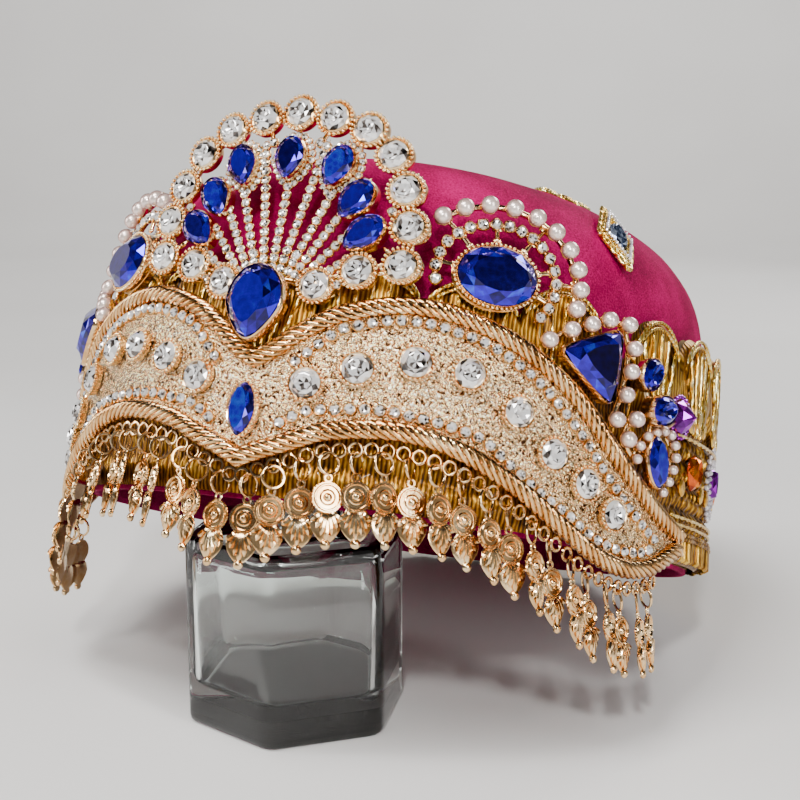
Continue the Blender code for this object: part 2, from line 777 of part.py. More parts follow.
# Side clusters over the plate's ends: a triangle, small ovals and pearls on one backing
CLUSTER_TOP = ((66.4, 45.8), (69.5, 49.4), (73.4, 51.8), (78.5, 54.8), (84.0, 57.2), (91.6, 57.6), (95.4, 53.0),
               (98.5, 49.9), (103.5, 48.4), (106.5, 44.0), (110.2, 40.0), (111.6, 34.6), (114.8, 30.6), (116.6, 27.0),
               (116.2, 22.0), (113.4, 17.6))
CLUSTER_FOOT = (108, 104, 100, 96, 92, 88, 84, 80, 76, 72, 68)
CLUSTER_PEARLS = ((67.9, 46.2), (73.6, 50.0), (79.1, 52.6), (84.5, 55.0), (91.1, 55.3), (93.6, 49.7), (93.2, 43.8),
                  (92.2, 37.8), (89.8, 31.2), (96.6, 32.6), (94.3, 27.2))
CLUSTER_PEARL_RADIUS = 2.1
TRILLION_CENTRE = (81.3, 43.6)
TRILLION_RADIUS = 10.8
TRILLION_TURN = math.radians(-34)
# Smaller stones: name, s, z, length, width, turn in degrees, rise
CLUSTER_STONES = (("side_oval_upper", 99.8, 44.5, 9.6, 7.6, 60, 4.2),
                  ("side_oval_lower", 103.9, 36.2, 10.0, 8.0, 20, 5.6))
# The marquise: s, z, width, height, and its turn
LOW_MARQUISE = (105.4, 23.6, 6.8, 12.6)
MARQUISE_TURN = math.radians(15)
PURPLE_CENTRE = (119.6, 37.6)
PURPLE_RADIUS = 4.8


def side_cluster(side, word, backing_material, stone_material, purple_material, crown):
    def backing(shape):
        foot = [(s, above_top_rope(s) + GAP) for s in CLUSTER_FOOT]
        slab(shape, mirrored(list(CLUSTER_TOP) + foot, side), TRIM_BACK, TRIM_FRONT)

    beads = []
    for centre in CLUSTER_PEARLS:
        def bead(shape, centre=centre):
            pearl(shape, (side * centre[0], centre[1]), TRIM_FRONT - 0.6, CLUSTER_PEARL_RADIUS, 8)
        beads.append(bead)
    shape = fused([backing], beads, 10.0)
    finish("side_cluster_" + word, shape, backing_material, on_wall, crown)

    seat = TRIM_FRONT + GAP
    shape = bmesh.new()
    gem(shape, outline_trillion(TRILLION_RADIUS), (side * TRILLION_CENTRE[0], TRILLION_CENTRE[1]),
        side * TRILLION_TURN, seat, 5.4, bezel=0.8, wall=3.0, table=0.5)
    finish("side_triangle_" + word, shape, stone_material, on_wall, crown)
    for name, s, z, length, width, turn, rise in CLUSTER_STONES:
        shape = bmesh.new()
        gem(shape, outline_oval(length - 1.2, width - 1.2), (side * s, z), side * math.radians(turn), seat, rise,
            bezel=0.6, wall=rise - 1.5, rim=False)
        finish(name + "_" + word, shape, stone_material, on_wall, crown)
    s, z, width, height = LOW_MARQUISE
    shape = bmesh.new()
    gem(shape, outline_marquise(width, height), (side * s, z), side * MARQUISE_TURN, seat, 4.0, bezel=0.7, wall=2.2,
        rim=False)
    finish("side_marquise_" + word, shape, stone_material, on_wall, crown)
    shape = bmesh.new()
    gem(shape, outline_round(PURPLE_RADIUS, 12), (side * PURPLE_CENTRE[0], PURPLE_CENTRE[1]), 0.0, BAND_OUTER + GAP,
        6.0, bezel=0.8, wall=2.0, table=0.2, rim=False)
    finish("purple_stone_" + word, shape, purple_material, on_wall, crown)


# The fringe of pendants under the bottom rope
RING_DROP = 5.6
HEAD_HALF = 1.3
PENDANT_PITCH = 5.95
PENDANT_FIRST = 3.6
PENDANTS_A_SIDE = 19
DISC_DROP = 10.4
DISC_RADIUS = 3.4
TAIL_LENGTH = 9.6
PENDANT_SLIM = 0.85
PENDANT_SHARE = 0.86
FRINGE_OFF = (-0.1, 1.0)


def hang(s):
    """How far a plumb line moves along the wall for each millimetre it drops."""
    return math.tan(CROWN_TILT) * math.sin(wall_angle(s))


def pendant_outline(slim):
    """Link, round disc and leaf-shaped tail, down the left side and up the right."""
    half = [(0.9, -HEAD_HALF), (0.9, -DISC_DROP + DISC_RADIUS)]
    half += [(DISC_RADIUS * slim * math.sin(math.radians(a)), -DISC_DROP + DISC_RADIUS * math.cos(math.radians(a)))
             for a in (50, 90, 125)]
    half += [(3.0 * slim, -DISC_DROP - 5.2)]
    return [(-x, z) for x, z in half] + [(0.0, -DISC_DROP - 0.8 - TAIL_LENGTH)] + half[::-1]


def fringe(side, word, material, crown):
    """Head strip under the rope and the pendants in one outline, hung plumb and kept off each other."""
    outline = []
    for k in range(PENDANTS_A_SIDE):
        s = PENDANT_FIRST + k * PENDANT_PITCH
        level = rope_height(BOTTOM_ROPE, s) - RING_DROP
        room = min(PENDANT_PITCH
                   + (rope_height(BOTTOM_ROPE, s + step) - RING_DROP - level) * math.copysign(hang(s), step)
                   for step in (PENDANT_PITCH, -PENDANT_PITCH))
        slim = min(PENDANT_SLIM, PENDANT_SHARE * room / DISC_RADIUS / 2)
        outline += [(s + x - (z + HEAD_HALF) * hang(s), level + z) for x, z in pendant_outline(slim)]
    places = [outline[0][0] - 1.5 + k * PENDANT_PITCH for k in range(PENDANTS_A_SIDE + 1)]
    outline += [(s, rope_height(BOTTOM_ROPE, s) - ROPE_RADIUS * rope_stretch(BOTTOM_ROPE, s) - GAP)
                for s in places[::-1]]
    shape = bmesh.new()
    slab(shape, mirrored(outline, side), *FRINGE_OFF)
    slice_across(shape, 1.5 * PENDANT_PITCH)
    finish("fringe_" + word, shape, material, on_wall, crown)


# Embroidered diamonds on the cap's shoulder: s, and on the outer profile between two of its rows
DIAMONDS = (95.0, -95.0, 215.0, -215.0)
DIAMOND_HALF = 7.5
DIAMOND_ROWS = ((71, 5.2), (80, 8.6), (88, 15.5))


def cap_point(s, z, inset, proud):
    angle = wall_angle(s)
    x, y = plan_point(angle, -inset + proud * 0.7 - DRAW_IN * lean(z))
    return Vector((float(x), float(y) + SET_BACK * lean(z), z + proud * 0.7))


def cap_diamond(index, s, material, crown):
    """Flat pad with four points and a raised middle, lying on the shoulder."""
    shape = bmesh.new()
    low, middle, high = DIAMOND_ROWS
    corners = [(s, low), (s + DIAMOND_HALF, middle), (s, high), (s - DIAMOND_HALF, middle)]
    ring = []
    for k, (along, row) in enumerate(corners):
        following = corners[(k + 1) % 4]
        ring.append((along, row[0], row[1]))
        ring.append(((along + following[0]) / 2, (row[0] + following[1][0]) / 2, (row[1] + following[1][1]) / 2 - 0.6))
    rings = []
    for share, proud in ((1.0, 0.7), (1.0, 1.9), (0.55, 3.1), (0.2, 3.5)):
        rings.append([tuple(cap_point(s + (along - s) * share, middle[0] + (z - middle[0]) * share,
                                      middle[1] + (inset - middle[1]) * share, proud)) for along, z, inset in ring])
    stack(shape, rings)
    return finish("cap_diamond_%d" % index, shape, material, None, crown)


def main():
    for item in list(bpy.data.objects):
        bpy.data.objects.remove(item)
    crown = bpy.data.objects.new("crown", None)
    bpy.context.scene.collection.objects.link(crown)
    crown.location = [value * MM for value in CROWN_PLACE]
    crown.rotation_euler = (-CROWN_TILT, 0, 0)

    gilt = finish_of("rose_gilt", (0.83, 0.56, 0.34), 0.25, 1.0)
    thread = finish_of("gold_thread", (0.62, 0.42, 0.10), 0.45, 0.8)
    velvet = finish_of("pink_velvet", (0.66, 0.01, 0.12), 0.9, 0.0)
    clear = finish_of("clear_crystal", (0.9, 0.88, 0.84), 0.05, 0.0)
    blue = finish_of("blue_glass", (0.01, 0.01, 0.55), 0.08, 0.0)
    purple = finish_of("purple_glass", (0.2, 0.01, 0.4), 0.08, 0.0)
    cream = finish_of("cream_pearl", (0.88, 0.75, 0.70), 0.2, 0.0)
    bottle = finish_of("clear_glass", (0.85, 0.9, 0.9), 0.02, 0.0)
    rod = finish_of("plain_rod", (0.35, 0.3, 0.28), 0.5, 0.0)

    glass_jar(bottle)
    stand_post(rod)
    velvet_cap(velvet, crown)
    gold_side_band(thread, crown)
    hem_braid(thread, crown)
    brow_plate(gilt, crown)
    brow_crystals(clear, crown)
    centre_stones(blue, crown)
    fan_frame(gilt, crown)
    fan_drops(blue, crown)
    for side, word in ((1, "r"), (-1, "l")):
        medallion(side, word, cream, blue, crown)
        side_cluster(side, word, cream, blue, purple, crown)
        fringe(side, word, gilt, crown)
    for k, s in enumerate(DIAMONDS):
        cap_diamond(k + 1, s, thread, crown)


main()
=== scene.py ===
"""Looks of a dance crown that leans on a hexagonal glass jar.

The crown's ornament is drawn unrolled, in millimetres: s runs along the wall from the middle of the brow,
z is the height above the hem, and off is the distance out of the wall. Each finished piece is rolled up onto
the wall or the fan, tilted into its place and scaled to metres.
"""
import math
import random

import bmesh
import bpy
import numpy as np
from mathutils import Matrix, Vector, noise


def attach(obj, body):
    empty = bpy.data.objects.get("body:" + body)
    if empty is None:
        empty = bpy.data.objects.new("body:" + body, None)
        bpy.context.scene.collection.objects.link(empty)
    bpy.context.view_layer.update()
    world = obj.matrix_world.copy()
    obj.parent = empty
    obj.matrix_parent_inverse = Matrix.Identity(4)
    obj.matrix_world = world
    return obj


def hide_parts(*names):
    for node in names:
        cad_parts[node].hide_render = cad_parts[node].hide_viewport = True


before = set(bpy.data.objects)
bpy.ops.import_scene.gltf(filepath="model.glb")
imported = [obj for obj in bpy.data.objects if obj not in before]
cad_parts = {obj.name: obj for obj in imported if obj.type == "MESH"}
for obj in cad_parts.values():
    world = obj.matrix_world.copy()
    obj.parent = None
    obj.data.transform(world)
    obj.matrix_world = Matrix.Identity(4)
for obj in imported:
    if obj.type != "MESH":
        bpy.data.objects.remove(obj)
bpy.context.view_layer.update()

# Camera, floor and lamps
# The camera looks a little down on the brow, from one side of its middle. The crown stands on a plain pale board
# that sweeps up all round, under soft lamps.


def hex_colour(code):
    """Linear colour of an sRGB hex value."""
    parts = [int(code[i:i + 2], 16) / 255 for i in (1, 3, 5)]
    return tuple(c / 12.92 if c <= 0.04045 else ((c + 0.055) / 1.055) ** 2.4 for c in parts) + (1.0,)


def add(tree, kind, settings=None, links=None, out=0, to=None):
    """Adds a node and returns its output. Settings are values of its sockets, its own, or a ramp's stops."""
    made = tree.nodes.new("ShaderNode" + kind)
    for key, value in (settings or {}).items():
        if key == "stops":
            elements = made.color_ramp.elements
            while len(elements) < len(value):
                elements.new(0.5)
            for element, (place, code) in zip(elements, value):
                element.position = place
                element.color = hex_colour(code)
        elif isinstance(key, int) or key in made.inputs.keys():
            made.inputs[key].default_value = value
        else:
            setattr(made, key, value)
    for key, source in (links or {}).items():
        tree.links.new(source, made.inputs[key])
    if to is not None:
        tree.links.new(made.outputs[out], to)
    return made.outputs[out]


def surface(name, settings):
    """A material with its shader set, returned with its node tree and the shader's sockets."""
    made = bpy.data.materials.new(name)
    made.use_nodes = True
    shader = made.node_tree.nodes["Principled BSDF"].inputs
    for key, value in settings.items():
        shader[key].default_value = value
    return made, made.node_tree, shader


def mottled(name, settings, spacing, stops):
    """A material whose colour wanders between two shades, spacing metres apart."""
    made, tree, shader = surface(name, settings)
    wander = add(tree, "TexNoise", {"Scale": 1 / spacing}, {"Vector": add(tree, "TexCoord", out="Object")})
    add(tree, "ValToRGB", {"stops": stops}, {"Fac": wander}, to=shader["Base Color"])
    return made


def put(name, data):
    """An object of the data, in the scene."""
    item = bpy.data.objects.new(name, data)
    bpy.context.scene.collection.objects.link(item)
    return item


def mesh_of(name, shape):
    mesh = bpy.data.meshes.new(name)
    shape.to_mesh(mesh)
    shape.free()
    return mesh


CAMERA_TURN = 22.56
CAMERA_PITCH = 10.59
camera = put("camera", bpy.data.cameras.new("camera"))
camera.location = (0.1577, -0.3101, 0.1467)
camera.rotation_euler = (math.radians(90 - CAMERA_PITCH), 0.0, math.radians(CAMERA_TURN))
camera.data.lens = 63.0
camera.data.clip_start = 0.01
bpy.context.scene.camera = camera

# Lamps: name, place, aim, width, depth and power
CROWN_MIDDLE = (0.0, 0.05, 0.08)
for name, place, aim, width, depth, power in (
        ("lamp_over", (-0.12, -0.35, 0.85), CROWN_MIDDLE, 0.42, 0.3, 9.0),
        ("lamp_small", (0.28, -0.75, 0.7), CROWN_MIDDLE, 0.08, 0.08, 6.0),
        ("lamp_right", (0.85, -0.35, 0.4), CROWN_MIDDLE, 0.14, 0.6, 5.0),
        ("lamp_left", (-0.8, -0.3, 0.4), CROWN_MIDDLE, 0.14, 0.6, 4.0),
        ("lamp_rear", (0.3, 0.95, 0.7), CROWN_MIDDLE, 0.6, 0.3, 6.0),
        ("lamp_backdrop", (-0.3, 1.0, 1.3), (-0.9, 2.3, 0.3), 1.0, 0.4, 24.0)):
    lamp = put(name, bpy.data.lights.new(name, "AREA"))
    lamp.location = place
    lamp.rotation_euler = (Vector(aim) - Vector(place)).to_track_quat("-Z", "Y").to_euler()
    lamp.data.shape = "RECTANGLE"
    lamp.data.size = width
    lamp.data.size_y = depth
    lamp.data.energy = power

world = bpy.data.worlds.new("studio")
world.use_nodes = True
bpy.context.scene.world = world
sky = world.node_tree
sky_inputs = sky.nodes["Background"].inputs
sky_height = add(sky, "SeparateXYZ", links={0: add(sky, "TexCoord", out="Generated")}, out="Z")
add(sky, "ValToRGB", {"stops": ((0.0, "#c9c7c6"), (0.25, "#8f8d8c"), (0.8, "#3a3836"))}, {"Fac": sky_height},
    to=sky_inputs["Color"])
sky_inputs["Strength"].default_value = 0.35

FLOOR_FLAT = 1.5
SWEEP = 0.9
SWEEP_STEPS = 12
shape = bmesh.new()
bmesh.ops.create_circle(shape, cap_ends=True, segments=96, radius=FLOOR_FLAT)
for k in range(1, SWEEP_STEPS + 1):
    turn = math.pi / 2 * k / SWEEP_STEPS
    rim = [edge for edge in shape.edges if edge.is_boundary]
    grown = bmesh.ops.extrude_edge_only(shape, edges=rim)["geom"]
    for vert in [part for part in grown if isinstance(part, bmesh.types.BMVert)]:
        away = Vector((vert.co.x, vert.co.y, 0)).normalized() * (FLOOR_FLAT + SWEEP * math.sin(turn))
        vert.co = (away.x, away.y, SWEEP * (1 - math.cos(turn)))
floor = put("floor", mesh_of("floor", shape))
floor.data.shade_smooth()
# Painted board: pale, matt, with the faintest unevenness
floor.data.materials.append(mottled("painted_board", {"Roughness": 0.75}, 1 / 3, (
    (0.3, "#dedbd8"), (0.7, "#e6e4e1"))))

# The cap's velvet
# A stiff domed cap covered in deep pink silk velvet, drawn over a form and stitched down at the hem. It leans in and
# back from the hem, and its plan is an egg. All ornament is fixed on this wall.
MM = 0.001
HALF_WIDTH = 88.0
FRONT_LENGTH = 100.0
REAR_LENGTH = 90.0
LEAN_START = 15.0
LEAN_FULL = 50.0
DRAW_IN = math.tan(math.radians(4.0))
SET_BACK = math.tan(math.radians(5.0))
CROWN_TILT = math.radians(20.5)
CROWN_PLACE = (4.1, 55.0, 31.5)


def plan_point(angle, off):
    """Egg-shaped plan of the wall at a turn from the brow, moved out by off."""
    length = np.where(np.cos(angle) > 0, FRONT_LENGTH, REAR_LENGTH)
    return (HALF_WIDTH + off) * np.sin(angle), -(length + off) * np.cos(angle)


def run_along(x, y):
    """Distance run along a line at each of its points."""
    return np.concatenate([[0.0], np.cumsum(np.hypot(np.diff(x), np.diff(y)))])


ANGLES = np.linspace(-math.pi, math.pi, 3601)
ARCS = run_along(*plan_point(ANGLES, 0.0))
ARCS = ARCS - np.interp(0.0, ANGLES, ARCS)
GIRTH = 2 * float(ARCS[-1])


def lean(z):
    t = np.clip(z - LEAN_START, 0.0, LEAN_FULL - LEAN_START)
    return t * t / (2 * (LEAN_FULL - LEAN_START)) + np.maximum(z - LEAN_FULL, 0.0)


def wall_angle(s):
    return np.interp(s - np.round(s / GIRTH) * GIRTH, ARCS, ANGLES)


def on_wall(flat):
    """Rolls flat points (s, z, off) up onto the wall."""
    s, z, off = flat.T
    x, y = plan_point(wall_angle(s), off - DRAW_IN * lean(z))
    return np.column_stack([x, y + SET_BACK * lean(z), z])


def crown_to_world(points):
    """Tilts points of the crown into place, and scales them to metres."""
    x, y, z = points.T
    cos_tilt, sin_tilt = math.cos(CROWN_TILT), math.sin(CROWN_TILT)
    tilted = np.column_stack([x, y * cos_tilt + z * sin_tilt, -y * sin_tilt + z * cos_tilt])
    return (tilted + np.array(CROWN_PLACE)) * MM


def smooth_line(table, s):
    """Smooth curve through a table of two columns, read at s."""
    knots, values = np.array(table, dtype=float).T
    slopes = np.empty(len(knots))
    slopes[1:-1] = (values[2:] - values[:-2]) / (knots[2:] - knots[:-2])
    slopes[0] = (values[1] - values[0]) / (knots[1] - knots[0])
    slopes[-1] = (values[-1] - values[-2]) / (knots[-1] - knots[-2])
    k = np.clip(np.searchsorted(knots, s, side="right") - 1, 0, len(knots) - 2)
    width = knots[k + 1] - knots[k]
    t = (s - knots[k]) / width
    start = (2 * t ** 3 - 3 * t ** 2 + 1) * values[k] + (t ** 3 - 2 * t ** 2 + t) * width * slopes[k]
    return start + (3 * t ** 2 - 2 * t ** 3) * values[k + 1] + (t ** 3 - t ** 2) * width * slopes[k + 1]


def cloth_grid(shape, columns, rows, place, hollow=None):
    """A grid whose points go where place puts each (u, v), both from 0 to 1. hollow says how deep each one lies; the
    thread and rose gold materials paint shade there.
    """
    depth = shape.verts.layers.float.get("hollow") or shape.verts.layers.float.new("hollow")
    for vert in bmesh.ops.create_grid(shape, x_segments=columns, y_segments=rows, size=0.5)["verts"]:
        u, v = vert.co.x + 0.5, vert.co.y + 0.5
        vert.co = Vector(place(u, v))
        if hollow:
            vert[depth] = hollow(u, v)


def finished(name, shape, material, nodes=(), sheet=on_wall, sharp=35, facets=None, weld=0.0):
    """Rolls the flat shape up, tilts it into place and makes it a piece. Facets, a seed, give each facet a random
    tone, which the stone materials use as a painted reflection.
    """
    if weld:
        bmesh.ops.remove_doubles(shape, verts=shape.verts[:], dist=weld)
    if facets:
        bmesh.ops.triangulate(shape, faces=[face for face in shape.faces if len(face.verts) == 4])
    bmesh.ops.recalc_face_normals(shape, faces=shape.faces[:])
    if shape.verts.layers.float.get("turn"):
        shape.verts.layers.float.remove(shape.verts.layers.float["turn"])
    flat = shape.loops.layers.uv.new("flat")
    for face in shape.faces:
        for loop in face.loops:
            loop[flat].uv = (loop.vert.co.x * MM, loop.vert.co.y * MM)
    if facets:
        chance = random.Random(facets)
        shade = shape.faces.layers.float.new("facet")
        # Small facets take their tones of painted reflection in the order of their places, which is the same in every
        # run
        small = iter(sorted((face for face in shape.faces if len(face.verts) == 3),
                            key=lambda face: sorted(tuple(vert.co) for vert in face.verts)))
        for face in shape.faces:
            (next(small) if len(face.verts) == 3 else face)[shade] = chance.random()
    mesh = mesh_of(name, shape)
    points = np.empty(len(mesh.vertices) * 3)
    mesh.vertices.foreach_get("co", points)
    points = points.reshape(-1, 3)
    points = crown_to_world(sheet(points)) if sheet else points * MM
    # A stone's table is ground flat
    for face in mesh.polygons if facets else ():
        if len(face.vertices) > 4:
            table = list(face.vertices)
            spread = points[table] - points[table].mean(axis=0)
            out = np.linalg.svd(spread)[2][2]
            points[table] -= np.outer(spread @ out, out)
    mesh.vertices.foreach_set("co", points.ravel())
    mesh.update()
    if facets:
        mesh.shade_flat()
    else:
        mesh.shade_smooth()
        mesh.set_sharp_from_angle(angle=math.radians(sharp))
    mesh.materials.append(material)
    item = put(name, mesh)
    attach(item, "root")
    if nodes:
        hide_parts(*nodes)
    return item


# Silk velvet: a short dense pile, dark where seen from above and bright at grazing angles, with brushed patches
PILE_MM = 0.45
BRUSHED_MM = 16.0
pink_velvet, tree, shader = surface("silk_velvet_pink", {
    "Roughness": 0.75, "Sheen Weight": 0.1, "Sheen Roughness": 0.35, "Sheen Tint": hex_colour("#ff0a78"),
    "Specular IOR Level": 0.05})
where = add(tree, "TexCoord", out="Object")
pile = add(tree, "TexNoise", {"Scale": 1 / (PILE_MM * MM), "Detail": 2.0}, {"Vector": where})
brushed = add(tree, "TexNoise", {"Scale": 1 / (BRUSHED_MM * MM), "Detail": 3.0}, {"Vector": where})
both = add(tree, "Math", {"operation": "ADD"}, {0: pile, 1: brushed})
add(tree, "ValToRGB", {"stops": ((0.3, "#4a0020"), (0.5, "#86003e"), (0.7, "#b80062"))},
    {"Fac": add(tree, "Math", {"operation": "MULTIPLY", 1: 0.5}, {0: both})}, to=shader["Base Color"])
add(tree, "Bump", {"Strength": 0.5, "Distance": 0.4 * MM}, {"Height": pile}, to=shader["Normal"])

# Outer profile: height and how far the wall has come in
CAP_PROFILE = np.array(((0, 4.0), (15, 4.0), (32, 4.0), (50, 4.0), (61, 4.0), (71, 5.2), (80, 8.6), (88, 15.5),
                        (94, 28.0), (98, 56.0), (99.2, 84.0)))
VELVET_WALL = 1.9
PUCKER = 0.45
PUCKERS_ROUND = 5
PUCKER_RISE = 40
knots = run_along(*CAP_PROFILE.T)
cap_heights, cap_insets = [np.column_stack([knots, column]) for column in CAP_PROFILE.T]


def cap_point(u, v):
    along = v * knots[-1]
    turn = 2 * math.pi * u
    waver = noise.noise(Vector((math.cos(turn) * PUCKERS_ROUND, math.sin(turn) * PUCKERS_ROUND, along * 0.05)))
    pucker = PUCKER * waver * min(1.0, along / PUCKER_RISE)
    return (u - 0.5) * GIRTH, smooth_line(cap_heights, along), pucker - smooth_line(cap_insets, along)


shape = bmesh.new()
cloth_grid(shape, 150, 64, cap_point)
velvet_cap = finished("velvet_cap_cover", shape, pink_velvet, ["velvet_cap"], sharp=180)
# The rolled cover is joined at the rear and closed at the crown
shape = bmesh.new()
shape.from_mesh(velvet_cap.data)
bmesh.ops.remove_doubles(shape, verts=shape.verts[:], dist=0.02 * MM)
crown_top = [edge for edge in shape.edges if edge.is_boundary and edge.verts[0].co.z > 0.1]
bmesh.ops.edgeloop_fill(shape, edges=crown_top)
bmesh.ops.recalc_face_normals(shape, faces=shape.faces[:])
shape.to_mesh(velvet_cap.data)
shape.free()
velvet_cap.data.shade_smooth()
wall = velvet_cap.modifiers.new("wall", "SOLIDIFY")
wall.thickness = VELVET_WALL * MM
wall.offset = -1.0

# The gold embroidered band
# A stiff cloth band round the cap, covered with laid metallic thread. Each scallop of its upper edge is a padded fan
# of ribs, edged with twisted cord; between the ribs and the hem run couched rows, sequins, beads and small stones.
BAND_INNER = -3.7
BAND_OUTER = -0.5
BAND_GROUND = BAND_OUTER - 1.4
BAND_TOP = 48.0
BAND_BOTTOM = 1.0
FAN_PITCH = 22.25
FRONT_PITCH = 24.6
FIRST_REAR = 109.5
FAN_FOOT = 33.0
RIBS_A_FAN = 5
ROW_START = 9.0
ROW_PITCH = 6.0
WEAVE_PITCH = 3.2
PLATE_COVERS = 116.0
COVER_FADE = 14.0
# Fans on one side: middle, half width and top
FRONT_FANS = tuple((FRONT_PITCH * k, 12.2, 57.5) for k in range(3)) + ((FRONT_PITCH * 3, 12.2, 61.0),)
REAR_FANS = tuple((FIRST_REAR + FAN_PITCH * k, 11.1, 61.0) for k in range(9))
FANS = FRONT_FANS + REAR_FANS + tuple((-centre, half, top) for centre, half, top in FRONT_FANS[1:] + REAR_FANS[:-1])
REAR_MIDDLES = [centre for centre, half, top in FANS if abs(centre) > 125]


def nearest_fan(s):
    """The fan nearest to s: offset from its middle, half width and top."""
    s = abs(s - round(s / GIRTH) * GIRTH)
    return min(((s - centre, half, top) for centre, half, top in FRONT_FANS + REAR_FANS), key=lambda fan: abs(fan[0]))


def band_top(s):
    across, half, top = nearest_fan(s)
    return BAND_TOP + (top - BAND_TOP) * math.sqrt(max(0.0, 1 - (across / half) ** 2))


def band_relief(s, z):
    """Height of the embroidery over the ground, from 0 to 1."""
    across, half, top = nearest_fan(s)
    if z > FAN_FOOT and abs(across) < half:
        rib = abs(math.cos(math.atan2(across, z - FAN_FOOT + 4.0) * RIBS_A_FAN * 1.15))
        return 0.1 + 0.9 * math.sqrt(rib) * min(1.0, (z - FAN_FOOT) / 5)
    if z > FAN_FOOT:
        return 0.1
    row = abs(math.sin(math.pi * (z - ROW_START) / ROW_PITCH))
    weave = abs(math.sin(math.pi * (s + 0.5 * z) / WEAVE_PITCH) * math.sin(math.pi * (s - 0.5 * z) / WEAVE_PITCH))
    return 0.15 + 0.4 * row + 0.45 * weave


def band_proud(s):
    """The embroidery stands fuller where nothing lies over it."""
    s = abs(s - round(s / GIRTH) * GIRTH)
    return 1.4 + 1.7 * min(1.0, max(0.0, (s - PLATE_COVERS) / COVER_FADE))


def band_spot(u, v):
    s = u * GIRTH
    return s, BAND_BOTTOM + v * (band_top(s) - BAND_BOTTOM)


def band_point(u, v):
    s, z = band_spot(u, v)
    edge = min(1.0, v / 0.03, (1 - v) / 0.03)
    lift = band_proud(s) * band_relief(s, z) + 0.25 * noise.noise((s * 0.4, z * 0.4, 0))
    return s, z, BAND_GROUND + lift * edge


shape = bmesh.new()
cloth_grid(shape, 660, 64, band_point, lambda u, v: 1 - band_relief(*band_spot(u, v)))
cloth_grid(shape, 310, 4, lambda u, v: (*band_spot(u, v), BAND_INNER))
# Metallic thread: flat gilt strip wound on silk. The ground is laid fine and even, and the couched cords are brighter
# along every twist. Painted shade darkens both in their hollows, between ribs, rows and strands.
THREAD_MM = 0.55


def painted_hollow_shade(tree, tone, share):
    """The tone, lowered as painted shade where a piece says that it is hollow."""
    hollow = add(tree, "Attribute", {"attribute_name": "hollow"}, out="Fac")
    return add(tree, "Math", {"operation": "MULTIPLY_ADD", 1: -share}, {0: hollow, 2: tone})


def metallic_thread(name, stops, roughness, waver, depth):
    made, tree, shader = surface(name, {"Metallic": 0.9, "Roughness": roughness, "Coat Weight": 0.1})
    laid = add(tree, "UVMap", {"uv_map": "flat"})
    lines = add(tree, "TexWave", {
        "bands_direction": "X", "Scale": 1 / (THREAD_MM * MM) / 20 * math.pi, "Distortion": waver, "Detail": 2.0,
        "Detail Scale": 1.2}, {"Vector": laid}, out="Fac")
    patches = add(tree, "TexNoise", {"Scale": 1 / (7 * MM), "Detail": 4.0}, {"Vector": laid})
    mixed = add(tree, "Math", {"operation": "MULTIPLY_ADD", 1: 0.45}, {0: lines, 2: patches})
    add(tree, "ValToRGB", {"stops": stops}, {"Fac": painted_hollow_shade(tree, mixed, 0.55)}, to=shader["Base Color"])
    add(tree, "Bump", {"Strength": 0.9, "Distance": depth * MM}, {"Height": mixed}, to=shader["Normal"])
    return made


ground_thread = metallic_thread("gilt_thread_laid_ground", (
    (0.1, "#201002"), (0.4, "#6a400a"), (0.7, "#a8741a"), (1.0, "#e2b64a")), 0.36, 1.6, 0.2)
gold_thread = metallic_thread("gilt_thread_twisted_cord", (
    (0.0, "#5a3006"), (0.3, "#c4861a"), (0.6, "#f2c648"), (0.9, "#fff4b8")), 0.25, 1.0, 0.1)
finished("band_ground", shape, ground_thread, ["gold_side_band"], sharp=60)

# Twisted cords on the band: two over each scallop, one along each rib of a fan, and rows near the hem
CORD_RADIUS = 0.55
CORD_LAY = 2.6
CORD_ROWS = (10.5, 12.4, 33.0)
CORD_ROWS_START = 118.0


def tube(shape, path, steps, radius, sides=8, lobes=0, lay=CORD_LAY, closed=False, mirrored=False):
    """A tube along path(t) in the flat, t from 0 to 1. Lobes twist round it, one turn in each lay."""
    spots = [Vector(path(k / steps)) for k in range(steps + 1)]
    run = [0.0]
    for here, there in zip(spots, spots[1:]):
        run.append(run[-1] + (there - here).length)
    middle = run[-1] / 2 if mirrored else 0.0

    def crest(u, v):
        """How near the crest of a lobe a point is, from 0 to 1."""
        k = min(int(round(u * steps)), steps)
        return abs(math.cos(lobes * math.pi * (v + abs(run[k] - middle) / lay))) ** 0.55 if lobes else 1.0

    def place(u, v):
        k = min(int(round(u * steps)), steps)
        ahead = spots[(k + 1) % steps if closed else min(k + 1, steps)]
        behind = spots[(k - 1) % steps if closed else max(k - 1, 0)]
        along = (ahead - behind).normalized()
        out = Vector((0, 0, 1)) if abs(along.z) < 0.9 else Vector((1, 0, 0))
        side = along.cross(out).normalized()
        out = side.cross(along)
        turn = 2 * math.pi * v
        size = 0.02 if not closed and k in (0, steps) else radius * (0.64 + 0.36 * crest(u, v))
        return spots[k] + (side * math.cos(turn) + out * math.sin(turn)) * size

    cloth_grid(shape, steps, sides, place, lambda u, v: 1 - crest(u, v))


shape = bmesh.new()
for centre, half, top in FANS:
    out = BAND_GROUND + band_proud(centre)
    for inset in (0.6, 2.2):
        reach = half - 0.2 - inset
        tube(shape, lambda t: (centre + (t * 2 - 1) * reach, band_top(centre + (t * 2 - 1) * reach) - inset, out),
             44, CORD_RADIUS, 6, lobes=3)
    for k in range(-2, 3):
        tip = Vector((centre + half * k / 2.9, band_top(centre + half * k / 2.9) - 3.0, out))
        root = Vector((centre + half * k / 8, FAN_FOOT + 1.0, out - 0.3))
        tube(shape, lambda t: root.lerp(tip, t) + Vector((k * 0.25 * math.sin(math.pi * t), 0, 0)), 26, 0.6, 6,
             lobes=1)
for z in CORD_ROWS:
    tube(shape, lambda t: (CORD_ROWS_START + t * (GIRTH - 2 * CORD_ROWS_START), z, BAND_GROUND + band_proud(180.0)),
         480, CORD_RADIUS, 6, lobes=3)
